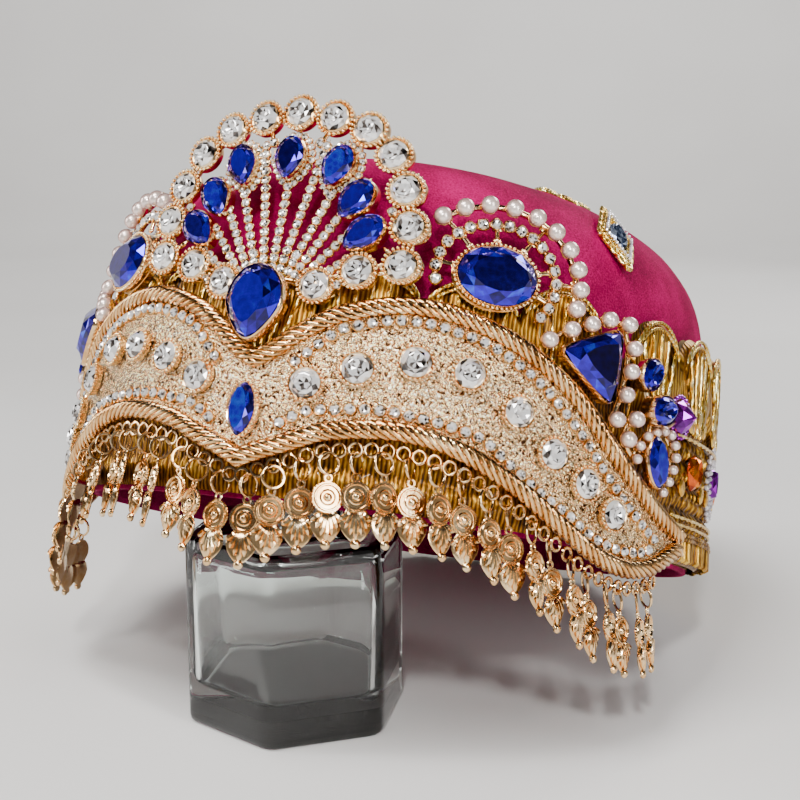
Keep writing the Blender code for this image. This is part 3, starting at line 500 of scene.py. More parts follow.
finished("band_cords", shape, gold_thread, sharp=60, weld=0.03)


def copies(shape, unit, places):
    """Adds a copy of the unit mesh at each place."""
    for place in places:
        count = len(shape.verts)
        shape.from_mesh(unit)
        shape.verts.ensure_lookup_table()
        bmesh.ops.transform(shape, matrix=place, verts=shape.verts[count:])


def seat(s, z, off, turn=0.0, size=1.0):
    """Place in the flat, turned about the way out."""
    return Matrix.Translation((s, z, off)) @ Matrix.Rotation(turn, 4, "Z") @ Matrix.Diagonal((size, size, size, 1))


def unit_mesh(name, build):
    """A small shape that is copied many times."""
    shape = bmesh.new()
    build(shape)
    bmesh.ops.recalc_face_normals(shape, faces=shape.faces[:])
    return mesh_of(name, shape)


def raised(shape, edge_at, rows, sides, place=Matrix.Identity(4), tip=False):
    """Lifts an outline row by row and closes it. A row is growth, height and any part of a step turned."""
    turn = shape.verts.layers.float.get("turn") or shape.verts.layers.float.new("turn")
    ring = bmesh.ops.create_circle(shape, cap_ends=False, segments=sides, radius=1.0)["verts"]
    for vert in ring:
        vert[turn] = math.atan2(vert.co.y, vert.co.x)
    edges = list(dict.fromkeys(edge for vert in ring for edge in vert.link_edges))
    bmesh.ops.edgeloop_fill(shape, edges=edges)
    for k, (growth, height, *shift) in enumerate(rows):
        if k:
            made = bmesh.ops.extrude_edge_only(shape, edges=edges)["geom"]
            ring = [part for part in made if isinstance(part, bmesh.types.BMVert)]
            edges = [part for part in made if isinstance(part, bmesh.types.BMEdge) and part.is_boundary]
        for vert in ring:
            x, y = edge_at(vert[turn] + sum(shift) * 2 * math.pi / sides, growth)
            vert.co = place @ Vector((x, y, height))
    if tip:
        bmesh.ops.pointmerge(shape, verts=ring, merge_co=place @ Vector((0, 0, rows[-1][1])))
    else:
        bmesh.ops.edgeloop_fill(shape, edges=edges)


def outline(width, height, form="oval", teeth=0, depth=0.0):
    """Closed outline of a stone or cup, read at an angle and grown; teeth mill its edge."""
    def edge_at(angle, growth):
        growth += depth * math.cos(teeth * angle)
        x, y = math.cos(angle), math.sin(angle)
        if form == "drop":
            x *= 1 - 0.38 * max(0.0, -y) ** 1.2
        elif form == "marquise":
            x *= abs(x) ** 0.25
        elif form == "trillion":
            size = min(0.93, 0.54 / math.cos((angle - math.pi / 2) % (2 * math.pi / 3) - math.pi / 3) + 0.04)
            x, y = x * size, y * size
        return (width / 2 + growth) * x, (height / 2 + growth) * y
    return edge_at


# Cuts of a stone: growth as a share of its half width, height as a share of its rise, part of a step turned
TABLE_CUT = ((0, 0), (0, 0.14), (-0.24, 0.64, 0.5), (-0.42, 1))
STAR_CUT = ((0, 0), (0, 0.16), (-0.22, 0.62, 0.5), (-0.4, 0.96), (-0.46, 1), (-0.66, 0.72, 0.5), (-0.84, 0.42))


def cut_stone(shape, width, height, form, place, lift, rise, sides=12, flat=False):
    """Cut stone: girdle, sloping crown facets, and a flat table or one through which a star of facets shows."""
    half = min(width, height) / 2
    rows = [(growth * half, up * rise, *shift) for growth, up, *shift in (TABLE_CUT if flat else STAR_CUT)]
    raised(shape, outline(width, height, form), rows, sides, place @ Matrix.Translation((0, 0, lift)), tip=not flat)


def strung(points, pitch, start=0.0, closed=False):
    """Spots at an even pitch along a line of points."""
    x, y = np.array(points).T
    run = run_along(x, y)
    count = round(run[-1] / pitch)
    marks = np.arange(count) * run[-1] / count if closed else np.arange(start, run[-1], pitch)
    return list(zip(np.interp(marks, run, x), np.interp(marks, run, y)))


def round_spots(edge_at, growth, pitch):
    return strung([edge_at(turn, growth) for turn in np.linspace(0.0, 2 * math.pi, 361)], pitch, closed=True)


# Seed beads, sequins and small stones sewn on the band
FIELD_OFF = BAND_OUTER + 1.0
FIELD_MIDDLE = 25.0
# Rings of seed beads round a purple stone: width, height, lift and pitch
BEAD_RINGS = ((9.4, 12.6, 0.6, 1.75), (15.0, 20.0, 0.4, 1.9))
ORANGE_MIDDLES = [centre for centre in REAR_MIDDLES if round((abs(centre) - FIRST_REAR) / FAN_PITCH) % 2]
PURPLE_MIDDLES = [centre for centre in REAR_MIDDLES if centre not in ORANGE_MIDDLES]
seed_bead = unit_mesh("seed_bead", lambda unit: bmesh.ops.create_uvsphere(
    unit, u_segments=8, v_segments=6, radius=0.8))
shape = bmesh.new()
for centre in PURPLE_MIDDLES:
    for width, height, lift, pitch in BEAD_RINGS:
        copies(shape, seed_bead, [seat(centre + x, FIELD_MIDDLE + y, FIELD_OFF + lift)
                                  for x, y in round_spots(outline(width, height, "marquise"), 0, pitch)])
# Grey glass seed beads: pressed glass with a silvered hole, small bright points on the gold
seed_glass = mottled("silvered_seed_glass", {"Metallic": 0.35, "Roughness": 0.16, "Coat Weight": 0.6}, 2.5 * MM, (
    (0.35, "#8f8a92"), (0.65, "#e9e2e4")))
finished("band_seed_beads", shape, seed_glass)

sequin = unit_mesh("sequin", lambda unit: raised(
    unit, outline(3.4, 4.6), ((0, 0), (0.1, 0.5), (-0.5, 0.9), (-1.1, 0.55)), 14, tip=True))
# Sequins of one fan: place along it, height and turn
SEQUINS = ((-5.5, 37.0, 0.4), (5.5, 37.0, -0.4), (-8.0, 20.0, 0.3), (8.0, 20.0, -0.3), (0, 39.0, 0))
shape = bmesh.new()
copies(shape, sequin, [seat(centre + along, z, FIELD_OFF + 0.2, turn)
                       for centre in REAR_MIDDLES for along, z, turn in SEQUINS])
# Gilt foil sequins: thin and springy, bright as brass where they tip to the light
sequin_gilt = mottled("gilt_sequin_foil", {"Metallic": 1.0, "Roughness": 0.22}, 6 * MM, (
    (0.35, "#c98a1e"), (0.65, "#ffd35e")))
finished("band_sequins", shape, sequin_gilt, sharp=50)


def foiled_glass(name, stops, roughness=0.05, metallic=0.85, coat=0.8):
    """Foil-backed cut glass: mirror-bright facets under a clear polished coat. Each facet's random tone, mottled with
    clouds, is a painted reflection of light inside the stone.
    """
    made, tree, shader = surface(name, {"Metallic": metallic, "Roughness": roughness, "Coat Weight": coat,
                                        "Coat Roughness": 0.02, "Coat IOR": 1.5})
    facet = add(tree, "Attribute", {"attribute_name": "facet"}, out="Fac")
    clouds = add(tree, "TexVoronoi", {"Scale": 1 / (1.6 * MM)}, {"Vector": add(tree, "TexCoord", out="Object")})
    mixed = add(tree, "Mix", {"data_type": "FLOAT", "Factor": 0.25}, {2: facet, 3: clouds})
    add(tree, "ValToRGB", {"stops": stops}, {"Fac": mixed}, to=shader["Base Color"])
    return made


# Orange and purple glass lozenges in turn, in the middle of each fan's lower field
LOZENGE = (7.0, 9.6, "marquise")
# Orange and purple foiled glass; the light and dark of their facets is painted reflection
topaz = foiled_glass("orange_foiled_glass", ((0.1, "#8a2400"), (0.5, "#e05c00"), (0.9, "#ff9a00")), coat=0.3)
amethyst = foiled_glass("purple_foiled_glass", (
    (0.05, "#2c003a"), (0.4, "#7a0098"), (0.75, "#b40cd8"), (0.95, "#ff58ff")), coat=0.3)
for name, middles, material, seed in (("band_orange_stones", ORANGE_MIDDLES, topaz, 3),
                                      ("band_purple_stones", PURPLE_MIDDLES, amethyst, 59)):
    shape = bmesh.new()
    for centre in middles:
        cut_stone(shape, *LOZENGE, seat(centre, FIELD_MIDDLE, FIELD_OFF), -0.2, 2.6, 8)
    finished(name, shape, material, facets=seed)

# The hem braid
# Gimp braid of gilt thread, sewn along the hem behind the plate's ends: a bound double cord over a row of upright
# loops, pushed into soft ruffles.
BRAID_START = 126.5
BRAID_PITCH = 11.0
BRAID_LOW = 1.0
BRAID_HIGH = 8.6
BRAID_BACK = BAND_OUTER + 0.3
LOOP_MM = 1.7
braid_length = GIRTH - 2 * BRAID_START
ruffles = round(braid_length / BRAID_PITCH)


def ruffle(share):
    return 0.5 - 0.5 * math.cos(2 * math.pi * ruffles * share)


def braid_front(u, v):
    s = BRAID_START + u * braid_length
    loop = abs(math.sin(math.pi * s / LOOP_MM))
    proud = 0.7 + 1.2 * ruffle(u) * (1 - 0.4 * v) + 0.8 * loop ** 0.7
    low = BRAID_LOW + 0.5 * (1 - ruffle(u)) + (0.7 if loop < 0.25 and v < 0.1 else 0.0)
    edge = math.sin(math.pi * min(1.0, max(0.0, 0.08 + v * 0.84)))
    return s, low + v * (BRAID_HIGH - 1.2 - low), BRAID_BACK + proud * min(1.0, edge * 2.4)


def braid_rear(u, v):
    return BRAID_START + u * braid_length, BRAID_LOW + 0.5 + v * (BRAID_HIGH - 1.7 - BRAID_LOW), BRAID_BACK


shape = bmesh.new()
cloth_grid(shape, 1080, 9, braid_front)
cloth_grid(shape, 270, 2, braid_rear)
for z, out in ((7.4, 1.0), (8.5, 0.8)):
    tube(shape, lambda t: (BRAID_START + t * braid_length, z - 0.2 * ruffle(t), BRAID_BACK + out + 0.9 * ruffle(t)),
         620, 0.75, 6, lobes=3, lay=2.4)
finished("hem_gimp_braid", shape, ground_thread, ["hem_braid"], sharp=70, weld=0.02)

# The brow plate
# One alloy casting plated in rose gold, bent round the brow: a thin sheet with a hammered field between two edges
# cast as twisted rope.
GAP = 0.3
PLATE_BACK = -0.2
PLATE_FRONT = 1.3
PLATE_END = 122.0
ROPE_RADIUS = 2.3
ROPE_CENTRE_OFF = 1.5
ROPE_STRANDS = 7
ROPE_RIDGE = 2.2
ROPE_REACH = PLATE_END + 2.0
TOP_ROPE = ((0, 32.0), (5, 34.8), (10, 39.0), (20, 44.8), (36, 48.4), (55, 45.6), (75, 36.3), (95, 20.8),
            (110, 12.0), (122, 7.6))
BOTTOM_ROPE = ((0, 8.8), (5, 11.0), (10, 12.9), (20, 16.9), (36, 18.8), (50, 16.7), (65, 10.6), (80, 2.6),
               (90, -1.8), (100, -3.5), (110, -1.9), (122, 3.6))


def rope_height(table, s):
    return float(smooth_line(table, min(abs(s), PLATE_END)))


# Rose gold plating on cast alloy: bright and smooth, uneven in tone from the casting, with painted shade darkening
# its hollows
ROSE_STOPS = ((0.0, "#48200a"), (0.3, "#b4783c"), (0.55, "#eaba7e"), (0.85, "#ffeabe"))


def rose_gold(name, roughness, grain, depth, share):
    """Plated casting: tone from the metal's grain, darkened as painted shade where a piece says that it is hollow."""
    made, tree, shader = surface(name, {"Metallic": 1.0, "Roughness": roughness})
    where = add(tree, "TexCoord", out="Object")
    tone = add(tree, "TexNoise", {"Scale": 1 / (5 * MM), "Detail": 5.0}, {"Vector": where})
    grains = add(tree, "TexNoise", {"Scale": 1 / (grain * MM), "Detail": 3.0, "Roughness": 0.6}, {"Vector": where})
    mixed = add(tree, "Mix", {"data_type": "FLOAT", "Factor": share}, {2: tone, 3: grains})
    lifted = add(tree, "Math", {"operation": "ADD", 1: 0.12}, {0: painted_hollow_shade(tree, mixed, 0.6)})
    add(tree, "ValToRGB", {"stops": ROSE_STOPS}, {"Fac": lifted}, to=shader["Base Color"])
    add(tree, "Bump", {"Strength": 1.0, "Distance": depth * MM}, {"Height": grains}, to=shader["Normal"])
    return made


gilt = rose_gold("rose_gold_plating", 0.14, 0.8, 0.02, 0.2)

# Hammered rose gold: bright as crumpled foil, with fine broken creases about a millimetre apart that are painted dark
# as shade
HAMMER_MM = 1.3
hammered_gilt, tree, shader = surface("rose_gold_hammered", {"Metallic": 1.0, "Roughness": 0.2})
where = add(tree, "TexCoord", out="Object")
crumple = add(tree, "TexNoise", {"Scale": 1 / (0.95 * MM), "Detail": 2.5, "Distortion": 0.6}, {"Vector": where})
breaks = add(tree, "TexNoise", {"Scale": 1 / (0.9 * MM), "Detail": 2.0}, {"Vector": where})
level = add(tree, "Math", {"operation": "SUBTRACT", 1: 0.5}, {0: crumple})
crease = add(tree, "Math", {"operation": "ABSOLUTE"}, {0: level})
broken = add(tree, "Math", {"operation": "MULTIPLY_ADD", 1: 0.3}, {0: breaks, 2: crease})
# The ramp paints the creases near black: painted shade in them
add(tree, "ValToRGB", {"stops": ((0.148, "#341a0a"), (0.168, "#a87040"), (0.19, "#f0cc92"), (0.32, "#fff0cc"))},
    {"Fac": broken}, to=shader["Base Color"])
add(tree, "Bump", {"Strength": 1.0, "Distance": 1.0 * MM}, {"Height": broken}, to=shader["Normal"])


def plate_point(off, relief):
    def place(u, v):
        s = (u * 2 - 1) * PLATE_END
        low, high = rope_height(BOTTOM_ROPE, s), rope_height(TOP_ROPE, s)
        z = low + v * (high - low)
        dent = noise.voronoi((s / HAMMER_MM, z / HAMMER_MM, 0.0))[0][0] if relief else 0.0
        return s, z, off + relief * (dent - 0.5)
    return place


shape = bmesh.new()
cloth_grid(shape, 420, 56, plate_point(PLATE_FRONT - 0.1, 0.16))
cloth_grid(shape, 120, 8, plate_point(PLATE_BACK, 0.0))
finished("brow_plate_field", shape, hammered_gilt, ["brow_plate"], sharp=75)

shape = bmesh.new()
for table in (TOP_ROPE, BOTTOM_ROPE):
    tube(shape, lambda t: ((t * 2 - 1) * ROPE_REACH, rope_height(table, (t * 2 - 1) * ROPE_REACH), ROPE_CENTRE_OFF),
         860, ROPE_RADIUS, 35, lobes=ROPE_STRANDS, lay=ROPE_STRANDS * ROPE_RIDGE, mirrored=True)
finished("brow_plate_ropes", shape, gilt, sharp=50, weld=0.03)

# The plate's rhinestone rows
# Small clear chatons of foil-backed glass in round gilt cups, soldered at an even pitch in a row inside each of the
# plate's ropes.
CHIP_PITCH = 3.3
UPPER_ROW = ((10.4, 32.0), (17, 38.5), (20, 40.8), (25, 42.5), (30, 44.0), (35, 44.6), (40, 44.6), (45, 43.8),
             (50, 43.0), (55, 41.7), (62, 38.6), (67, 35.8), (72.5, 31.9), (77.5, 28.0), (82.5, 23.9), (87.5, 19.4),
             (92.5, 15.5), (97, 12.2), (102, 9.2), (107, 6.4), (113, 4.2))
LOWER_ROW = ((9.0, 17.5), (15, 21.0), (20, 21.7), (25, 22.5), (30, 22.9), (35, 22.9), (40, 22.5), (45, 22.0),
             (50, 21.2), (55, 20.0), (62, 15.6), (67, 12.5), (73, 9.2), (80, 6.1), (85, 3.3), (90, 1.7), (95, 0.8),
             (100, 0.6), (105, 1.1), (110, 2.8))
chip_stone = unit_mesh("chip_stone", lambda unit: (
    raised(unit, outline(2.1, 2.1), ((0, 0.25), (0, 0.55), (-0.42, 1.05, 0.5), (-0.8, 0.85)), 7, tip=True),
    bmesh.ops.triangulate(unit, faces=unit.faces[:])))
chip_cup = unit_mesh("chip_cup", lambda unit: raised(
    unit, outline(2.5, 2.5, teeth=4, depth=0.12), ((0, -0.4), (0.1, 0.35), (-0.05, 0.55), (-0.25, 0.3)), 12))


def chips(stones, cups, spots, off, size=1.0, side=1):
    """A small stone in its cup at each spot."""
    places = [seat(side * s, z, off, 0.7 * k, size) for k, (s, z) in enumerate(spots)]
    copies(stones, chip_stone, places)
    copies(cups, chip_cup, places)


# Clear foil-backed crystal: painted reflections give white flashes beside grey and smoky brown facets
crystal = foiled_glass("clear_foiled_crystal", (
    (0.12, "#120f0d"), (0.3, "#6a605a"), (0.42, "#f0ece8"), (0.75, "#ffffff")), roughness=0.03, metallic=0.5)
stones, cups = bmesh.new(), bmesh.new()
for side in (1, -1):
    for row in (UPPER_ROW, LOWER_ROW):
        s = np.linspace(row[0][0], row[-1][0], 1500)
        spots = strung(np.column_stack([s, smooth_line(row, s)]), CHIP_PITCH)
        chips(stones, cups, spots, PLATE_FRONT + 0.25, 1.18, side)
finished("plate_row_stones", stones, crystal, facets=5)
finished("plate_row_cups", cups, gilt, sharp=45)

# The brow crystals
# Eight round foil-backed crystals a side, each in a gilt cup with a ring of small beads cast round its rim, riveted
# to the plate's hammered field.
BROW_CRYSTALS = ((13.8, 27.0), (24.8, 31.7), (37.3, 35.0), (49.7, 34.5), (62.4, 27.7), (72.7, 19.7), (82.8, 14.4),
                 (92.5, 8.6))
CRYSTAL = (7.2, 7.2, "oval")
PLATE_SEAT = PLATE_FRONT + GAP
rim_bead = unit_mesh("rim_bead", lambda unit: bmesh.ops.create_uvsphere(
    unit, u_segments=7, v_segments=5, radius=0.5))


def beaded_cup(shape, width, height, form, place, wall, bezel=0.6):
    """Cup round a stone: a wall, a lip over the stone's edge, and beads round the rim."""
    rim = outline(width, height, form)
    raised(shape, rim, ((bezel - 0.1, 0), (bezel, 0.3 * wall), (bezel, 0.6 * wall), (bezel - 0.5, 0.8 * wall),
                        (0.05, 0.95 * wall), (-0.15, 0.9 * wall), (-0.2, 0.5 * wall)), 40, place)
    copies(shape, rim_bead, [place @ Matrix.Translation((x, y, 0.78 * wall))
                             for x, y in round_spots(rim, bezel - 0.15, 1.12)])


crystal_nodes = [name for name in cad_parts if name.startswith("brow_crystal")]
stones, cups = bmesh.new(), bmesh.new()
for side in (1, -1):
    for k, (s, z) in enumerate(BROW_CRYSTALS):
        place = seat(side * s, z, PLATE_SEAT, 0.5 * k)
        beaded_cup(cups, *CRYSTAL, place, 2.0)
        cut_stone(stones, *CRYSTAL, place, 1.4, 1.8, 10)
finished("brow_crystal_stones", stones, crystal, crystal_nodes, facets=7)
finished("brow_crystal_cups", cups, gilt, sharp=50)

# The blue stones of the brow
# A marquise in the plate's middle, and over it the large drop that stands in front of the fan's foot. Both are
# foil-backed sapphire glass, the marquise in a beaded cup and the drop in a plain bezel.
# Deep blue sapphire glass; the spread of its facets from near black to bright blue is painted reflection
sapphire = foiled_glass("sapphire_foiled_glass", (
    (0.0, "#030010"), (0.3, "#14005e"), (0.55, "#2a00a0"), (0.8, "#2e08d4"), (0.97, "#3c68ff")),
                        metallic=0.75, coat=0.35)
MARQUISE_HEIGHT = 19.8
stones, cups = bmesh.new(), bmesh.new()
place = seat(0.0, MARQUISE_HEIGHT, PLATE_SEAT + 0.1)
beaded_cup(cups, 6.6, 12.5, "marquise", place, 2.1, bezel=0.7)
cut_stone(stones, 6.7, 12.6, "marquise", place, 1.5, 2.1, flat=True)
finished("brow_marquise_stone", stones, sapphire, ["brow_marquise"], facets=11)
finished("brow_marquise_cup", cups, gilt, sharp=50)

FAN_FACE = -97.9
FAN_LEAN = 0.085
FAN_LEVEL = 45.0
FAN_BEND = 300.0
PEAR_HEIGHT = 44.6
PEAR_OUT = 4.3


def on_fan(flat):
    """Lays flat points (x, z, off) onto the fan, which stands almost flat before the cap."""
    x, z, off = flat.T
    return np.column_stack([x, FAN_FACE + FAN_LEAN * (z - FAN_LEVEL) + x * x / FAN_BEND - off, z])


def plain_bezel(shape, width, height, form, place, wall, bezel, sides=48):
    """Smooth bezel: a wall that rolls over the stone's edge."""
    raised(shape, outline(width, height, form), (
        (bezel - 0.1, 0), (bezel, 0.5 * wall), (bezel, 0.85 * wall), (bezel - 0.25, wall), (0.05, 1.06 * wall),
        (-0.2, 0.96 * wall), (-0.25, 0.6 * wall)), sides, place)


stones, cups = bmesh.new(), bmesh.new()
place = seat(0.0, PEAR_HEIGHT, PEAR_OUT)
plain_bezel(cups, 14.0, 17.8, "drop", place, 3.4, 0.5, sides=64)
cut_stone(stones, 14.1, 17.9, "drop", place, 2.7, 3.7, flat=True)
finished("front_pear_stone", stones, sapphire, ["front_pear"], sheet=on_fan, facets=13)
finished("front_pear_bezel", cups, gilt, sheet=on_fan, sharp=50)

# The peacock fan
# A wreath of round crystals soldered edge to edge, standing before the cap. Rays of rhinestones spread from the big
# drop to seven blue drops, of which the top three have halos of rhinestones.
WREATH = ((0, 93.5), (9.3, 92.2), (18.3, 89.4), (25.3, 83.4), (29.5, 74.9), (31.7, 66.0), (31.4, 56.6),
          (21.6, 54.5), (12.1, 50.3))
WREATH_STONE = (7.0, 7.0, "oval")
FAN_PEARS = ((0, 81.5), (12.6, 79.6), (18.5, 71.5), (21.8, 63.4))
HALOED_ABOVE = 75
FAN_FOCUS = (0.0, 42.0)
# Rays: angle from upright in degrees and outer end from the focus
RAYS = ((0, 34.5), (10.5, 46.0), (20.5, 34.0), (29.5, 41.0), (39, 31.0), (50, 30.0), (62, 26.5))
RAY_START = 11.5
RAY_PITCH = 2.25
FAN_BACK = 0.3
FAN_FRONT = 2.0
FAN_CHIPS = FAN_BACK + 1.1
# Single stones that tie the drops to the wreath, and the spots that wires tie to its nearest stone
TIES = ((6.2, 86.0), (-6.2, 86.0), (16.4, 75.8), (-16.4, 75.8), (27.0, 69.6), (-27.0, 69.6), (21.0, 60.2),
        (-21.0, 60.2), (5.6, 57.5), (-5.6, 57.5))
TIED_SPOTS = ((0, 87.5), (6.2, 86.0), (27.0, 69.6), (26.0, 61.0))


def both_sides(points):
    return list(points) + [(-x, z) for x, z in points if x]


def along_ray(angle, reach):
    turn = math.radians(angle)
    return FAN_FOCUS[0] + math.sin(turn) * reach, FAN_FOCUS[1] + math.cos(turn) * reach


def wire(shape, start, end, radius, sag=0.0):
    """Straight soldered wire in the fan's plane; sag bows it."""
    a, b = Vector(start), Vector(end)
    side = Vector((-(b - a).y, (b - a).x, 0)).normalized()
    tube(shape, lambda t: a.lerp(b, t) + side * sag * math.sin(math.pi * t), 8, radius)


stones, fan_metal = bmesh.new(), bmesh.new()
for k, (x, z) in enumerate(both_sides(WREATH)):
    place = seat(x, z, FAN_BACK, 0.4 * k)
    beaded_cup(fan_metal, *WREATH_STONE, place, 3.1, bezel=1.0)
    cut_stone(stones, *WREATH_STONE, place, 2.5, 1.8, 10)
rim = [(-x, z) for x, z in WREATH[::-1]] + list(WREATH[1:])
for here, there in zip(rim, rim[1:]):
    away = Vector((there[1] - here[1], here[0] - there[0], 0)).normalized()
    for shift in (-away, away):
        wire(fan_metal, Vector((*here, 1.0)) + shift, Vector((*there, 1.0)) + shift, 0.55)
finished("wreath_stones", stones, crystal, sheet=on_fan, facets=17)

ray_stones, pear_stones = bmesh.new(), bmesh.new()
for angle, reach in RAYS:
    for turn in (angle, -angle) if angle else (angle,):
        count = int((reach - RAY_START) / RAY_PITCH)
        spots = [along_ray(turn, RAY_START + RAY_PITCH * (k + 0.4)) for k in range(count)]
        chips(ray_stones, fan_metal, spots, FAN_CHIPS, 0.96)
        wire(fan_metal, (*along_ray(turn, RAY_START - 1), 0.9), (*along_ray(turn, reach), 0.9), 0.6)
for x, z in both_sides(FAN_PEARS):
    turn = math.atan2(-(x - FAN_FOCUS[0]), z - FAN_FOCUS[1])
    place = seat(x, z, FAN_BACK, turn)
    plain_bezel(fan_metal, 7.5, 10.7, "drop", place, 3.7, 0.35, sides=40)
    cut_stone(pear_stones, 7.6, 10.8, "drop", place, FAN_FRONT + GAP - FAN_BACK + 1.1, 2.2, flat=True)
    if z > HALOED_ABOVE:
        spots = [(place @ Vector((*spot, 0))).xy for spot in round_spots(outline(7.5, 10.7, "drop"), 1.15, 1.75)]
        chips(ray_stones, fan_metal, spots, FAN_CHIPS, 0.74)
chips(ray_stones, fan_metal, TIES, FAN_CHIPS)
for x, z in both_sides(TIED_SPOTS):
    nearest = min(both_sides(WREATH), key=lambda spot: math.hypot(spot[0] - x, spot[1] - z))
    wire(fan_metal, (x, z, 1.0), (*nearest, 1.0), 0.6)
wire(fan_metal, (-11.0, 50.3, 0.9), (11.0, 50.3, 0.9), 0.8, sag=1.5)
drop_nodes = ["fan_drop_%d" % (k + 1) for k in range(7)]
finished("ray_stones", ray_stones, crystal, sheet=on_fan, facets=19)
finished("fan_pear_stones", pear_stones, sapphire, drop_nodes, sheet=on_fan, facets=23)
finished("fan_metal", fan_metal, gilt, ["fan_frame"], sheet=on_fan, sharp=50)

# The side medallions
# A large blue oval in a beaded cup, an open halo of rhinestones on short spokes, and a string of pearls on cups, all
# soldered to one gilt frame that stands before the cap.
SIDES = ((1, "r"), (-1, "l"))
OVAL_CENTRE = (52.7, 58.5)
OVAL = (19.2, 14.4, "oval")
HALO_CENTRE = (53.4, 59.2)
# Rings round the oval, as half widths and half heights: the seat's edge, the halo and the string of pearls
SEAT_RING = (10.4, 8.0)
HALO_RING = (15.25, 12.75)
STRING_RING = (21.4, 17.2)
# Turns are clockwise from straight up, in degrees
HALO_SPAN = (-112.0, 136.0)
STRING_SPAN = (-48.0, 104.0)
INNER_SPOKES = (-84.0, -45.0, -7.0, 32.0, 71.0, 109.0)
OUTER_SPOKES = (-45.0, 32.0, 84.0)
SPOKE_FOOT = 6
HALO_PITCH = 3.3
PEARLS = 10
FIRST_PEARL = -46.0
PEARL_TURN = 16.6
PEARL_RADIUS = 2.2
TRIM_BACK = 0.3
TRIM_FRONT = 1.6


def ellipse_spot(radii, degrees, grown=0.0):
    """Point of a ring round the halo's centre."""
    turn = math.radians(degrees)
    wide, tall = radii[0] + grown, radii[1] + grown
    return HALO_CENTRE[0] + wide * math.sin(turn), HALO_CENTRE[1] + tall * math.cos(turn)


# Imitation pearls: glass beads under layers of pearl essence, creamy pink with a soft sheen deep in the surface.
# Painted light and shade run from a pale middle to a darker edge, by how far each point turns from view
pearl_lustre, tree, shader = surface("imitation_pearl", {
    "Roughness": 0.26, "Metallic": 0.55, "Coat Weight": 1.0, "Coat Roughness": 0.04})
pearl_edge_shade = add(tree, "LayerWeight", {"Blend": 0.4}, out="Facing")
pearl_tone = add(tree, "TexNoise", {"Scale": 1 / (4 * MM)}, {"Vector": add(tree, "TexCoord", out="Object")})
pearl_mix = add(tree, "Math", {"operation": "MULTIPLY_ADD", 1: 0.2}, {0: pearl_tone, 2: pearl_edge_shade})
add(tree, "ValToRGB", {"stops": ((0.1, "#fff0e6"), (0.45, "#ecccc0"), (0.8, "#b98e84"), (1.0, "#8a5e58"))},
    {"Fac": pearl_mix}, to=shader["Base Color"])
pearl_ball = unit_mesh("pearl_ball", lambda unit: bmesh.ops.create_uvsphere(
    unit, u_segments=20, v_segments=14, radius=1.0))
pearl_cup = unit_mesh("pearl_cup", lambda unit: raised(
    unit, outline(2.0, 2.0, teeth=6, depth=0.06), ((-0.45, -1.0), (-0.1, -0.78), (-0.02, -0.5), (-0.2, -0.55)), 18))


def pearls(balls, cups, spots, radius, low, side=1):
    """A pearl in its small cup at each spot."""
    places = [seat(side * s, z, low + radius, 0, radius) for s, z in spots]
    copies(balls, pearl_ball, places)
    copies(cups, pearl_cup, places)


for side, word in SIDES:
    metal, balls, small, blue = bmesh.new(), bmesh.new(), bmesh.new(), bmesh.new()
    centre = (side * OVAL_CENTRE[0], OVAL_CENTRE[1])
    raised(metal, outline(*OVAL), ((1.0, 0), (1.0, 1.3)), 40, seat(*centre, TRIM_BACK))
    place = seat(*centre, TRIM_FRONT)
    beaded_cup(metal, *OVAL, place, 3.2, bezel=0.8)
    cut_stone(blue, *OVAL, place, GAP + 2.3, 2.9, flat=True)

    def halo_point(radii, degrees, grown=0.0):
        s, z = ellipse_spot(radii, degrees, grown)
        return Vector((side * s, z, TRIM_BACK + 0.75))

    for radii, (start, end), thick in ((HALO_RING, HALO_SPAN, 0.8), (STRING_RING, STRING_SPAN, 0.85)):
        tube(metal, lambda t: halo_point(radii, start + t * (end - start)), 72, thick)
    for spokes, inner, outer in ((INNER_SPOKES, SEAT_RING, HALO_RING), (OUTER_SPOKES, HALO_RING, STRING_RING)):
        for degrees in spokes:
            wire(metal, halo_point(inner, degrees), halo_point(outer, degrees), 0.6)
            for radii, grown in ((inner, 0.9), (outer, -1.1)):
                wire(metal, *(halo_point(radii, degrees + foot, grown) for foot in (-SPOKE_FOOT, SPOKE_FOOT)), 0.5)
    arc = [ellipse_spot(HALO_RING, degrees) for degrees in np.linspace(*HALO_SPAN, 200)]
    chips(small, metal, strung(arc, HALO_PITCH, 0.5 * HALO_PITCH), TRIM_BACK + 1.1, 1.25, side)
    string_spots = [ellipse_spot(STRING_RING, FIRST_PEARL + PEARL_TURN * k) for k in range(PEARLS)]
    pearls(balls, metal, string_spots, PEARL_RADIUS, TRIM_FRONT - 0.5, side)
    finished("medallion_oval_" + word, blue, sapphire, ["medallion_stone_" + word], facets=29 + side)
    finished("medallion_halo_stones_" + word, small, crystal, facets=31 + side)
    finished("medallion_pearls_" + word, balls, pearl_lustre, sharp=80)
    finished("medallion_metal_" + word, metal, gilt, ["medallion_frame_" + word], sharp=50)

# The side clusters
# A filigree backing over each end of the plate carries a blue triangle, two ovals and a marquise in a ring of small
# pearls, with large pearls round the triangle, and a purple pointed stone beside it on the band.
CLUSTER_PEARLS = ((67.9, 46.2), (73.6, 50.0), (79.1, 52.6), (84.5, 55.0), (91.1, 55.3), (93.6, 49.7), (93.2, 43.8),
                  (92.2, 37.8), (89.8, 31.2), (96.6, 32.6), (94.3, 27.2))
SMALL_PEARLS = ((98.8, 23.2), (99.6, 26.6), (102.2, 29.4), (105.5, 31.0), (109.0, 32.0), (112.3, 31.6), (114.7, 29.4),
                (115.7, 26.4), (114.8, 23.2), (113.2, 19.9), (110.9, 16.9))
# Strings of pearls: spots, pearl radius, how far they sink, and the thickness of the wire under them
PEARL_STRINGS = ((CLUSTER_PEARLS, 2.1, 0.4, 0.8), (SMALL_PEARLS, 1.3, 0.2, 0.6))
STONE_FOOT = TRIM_FRONT + GAP
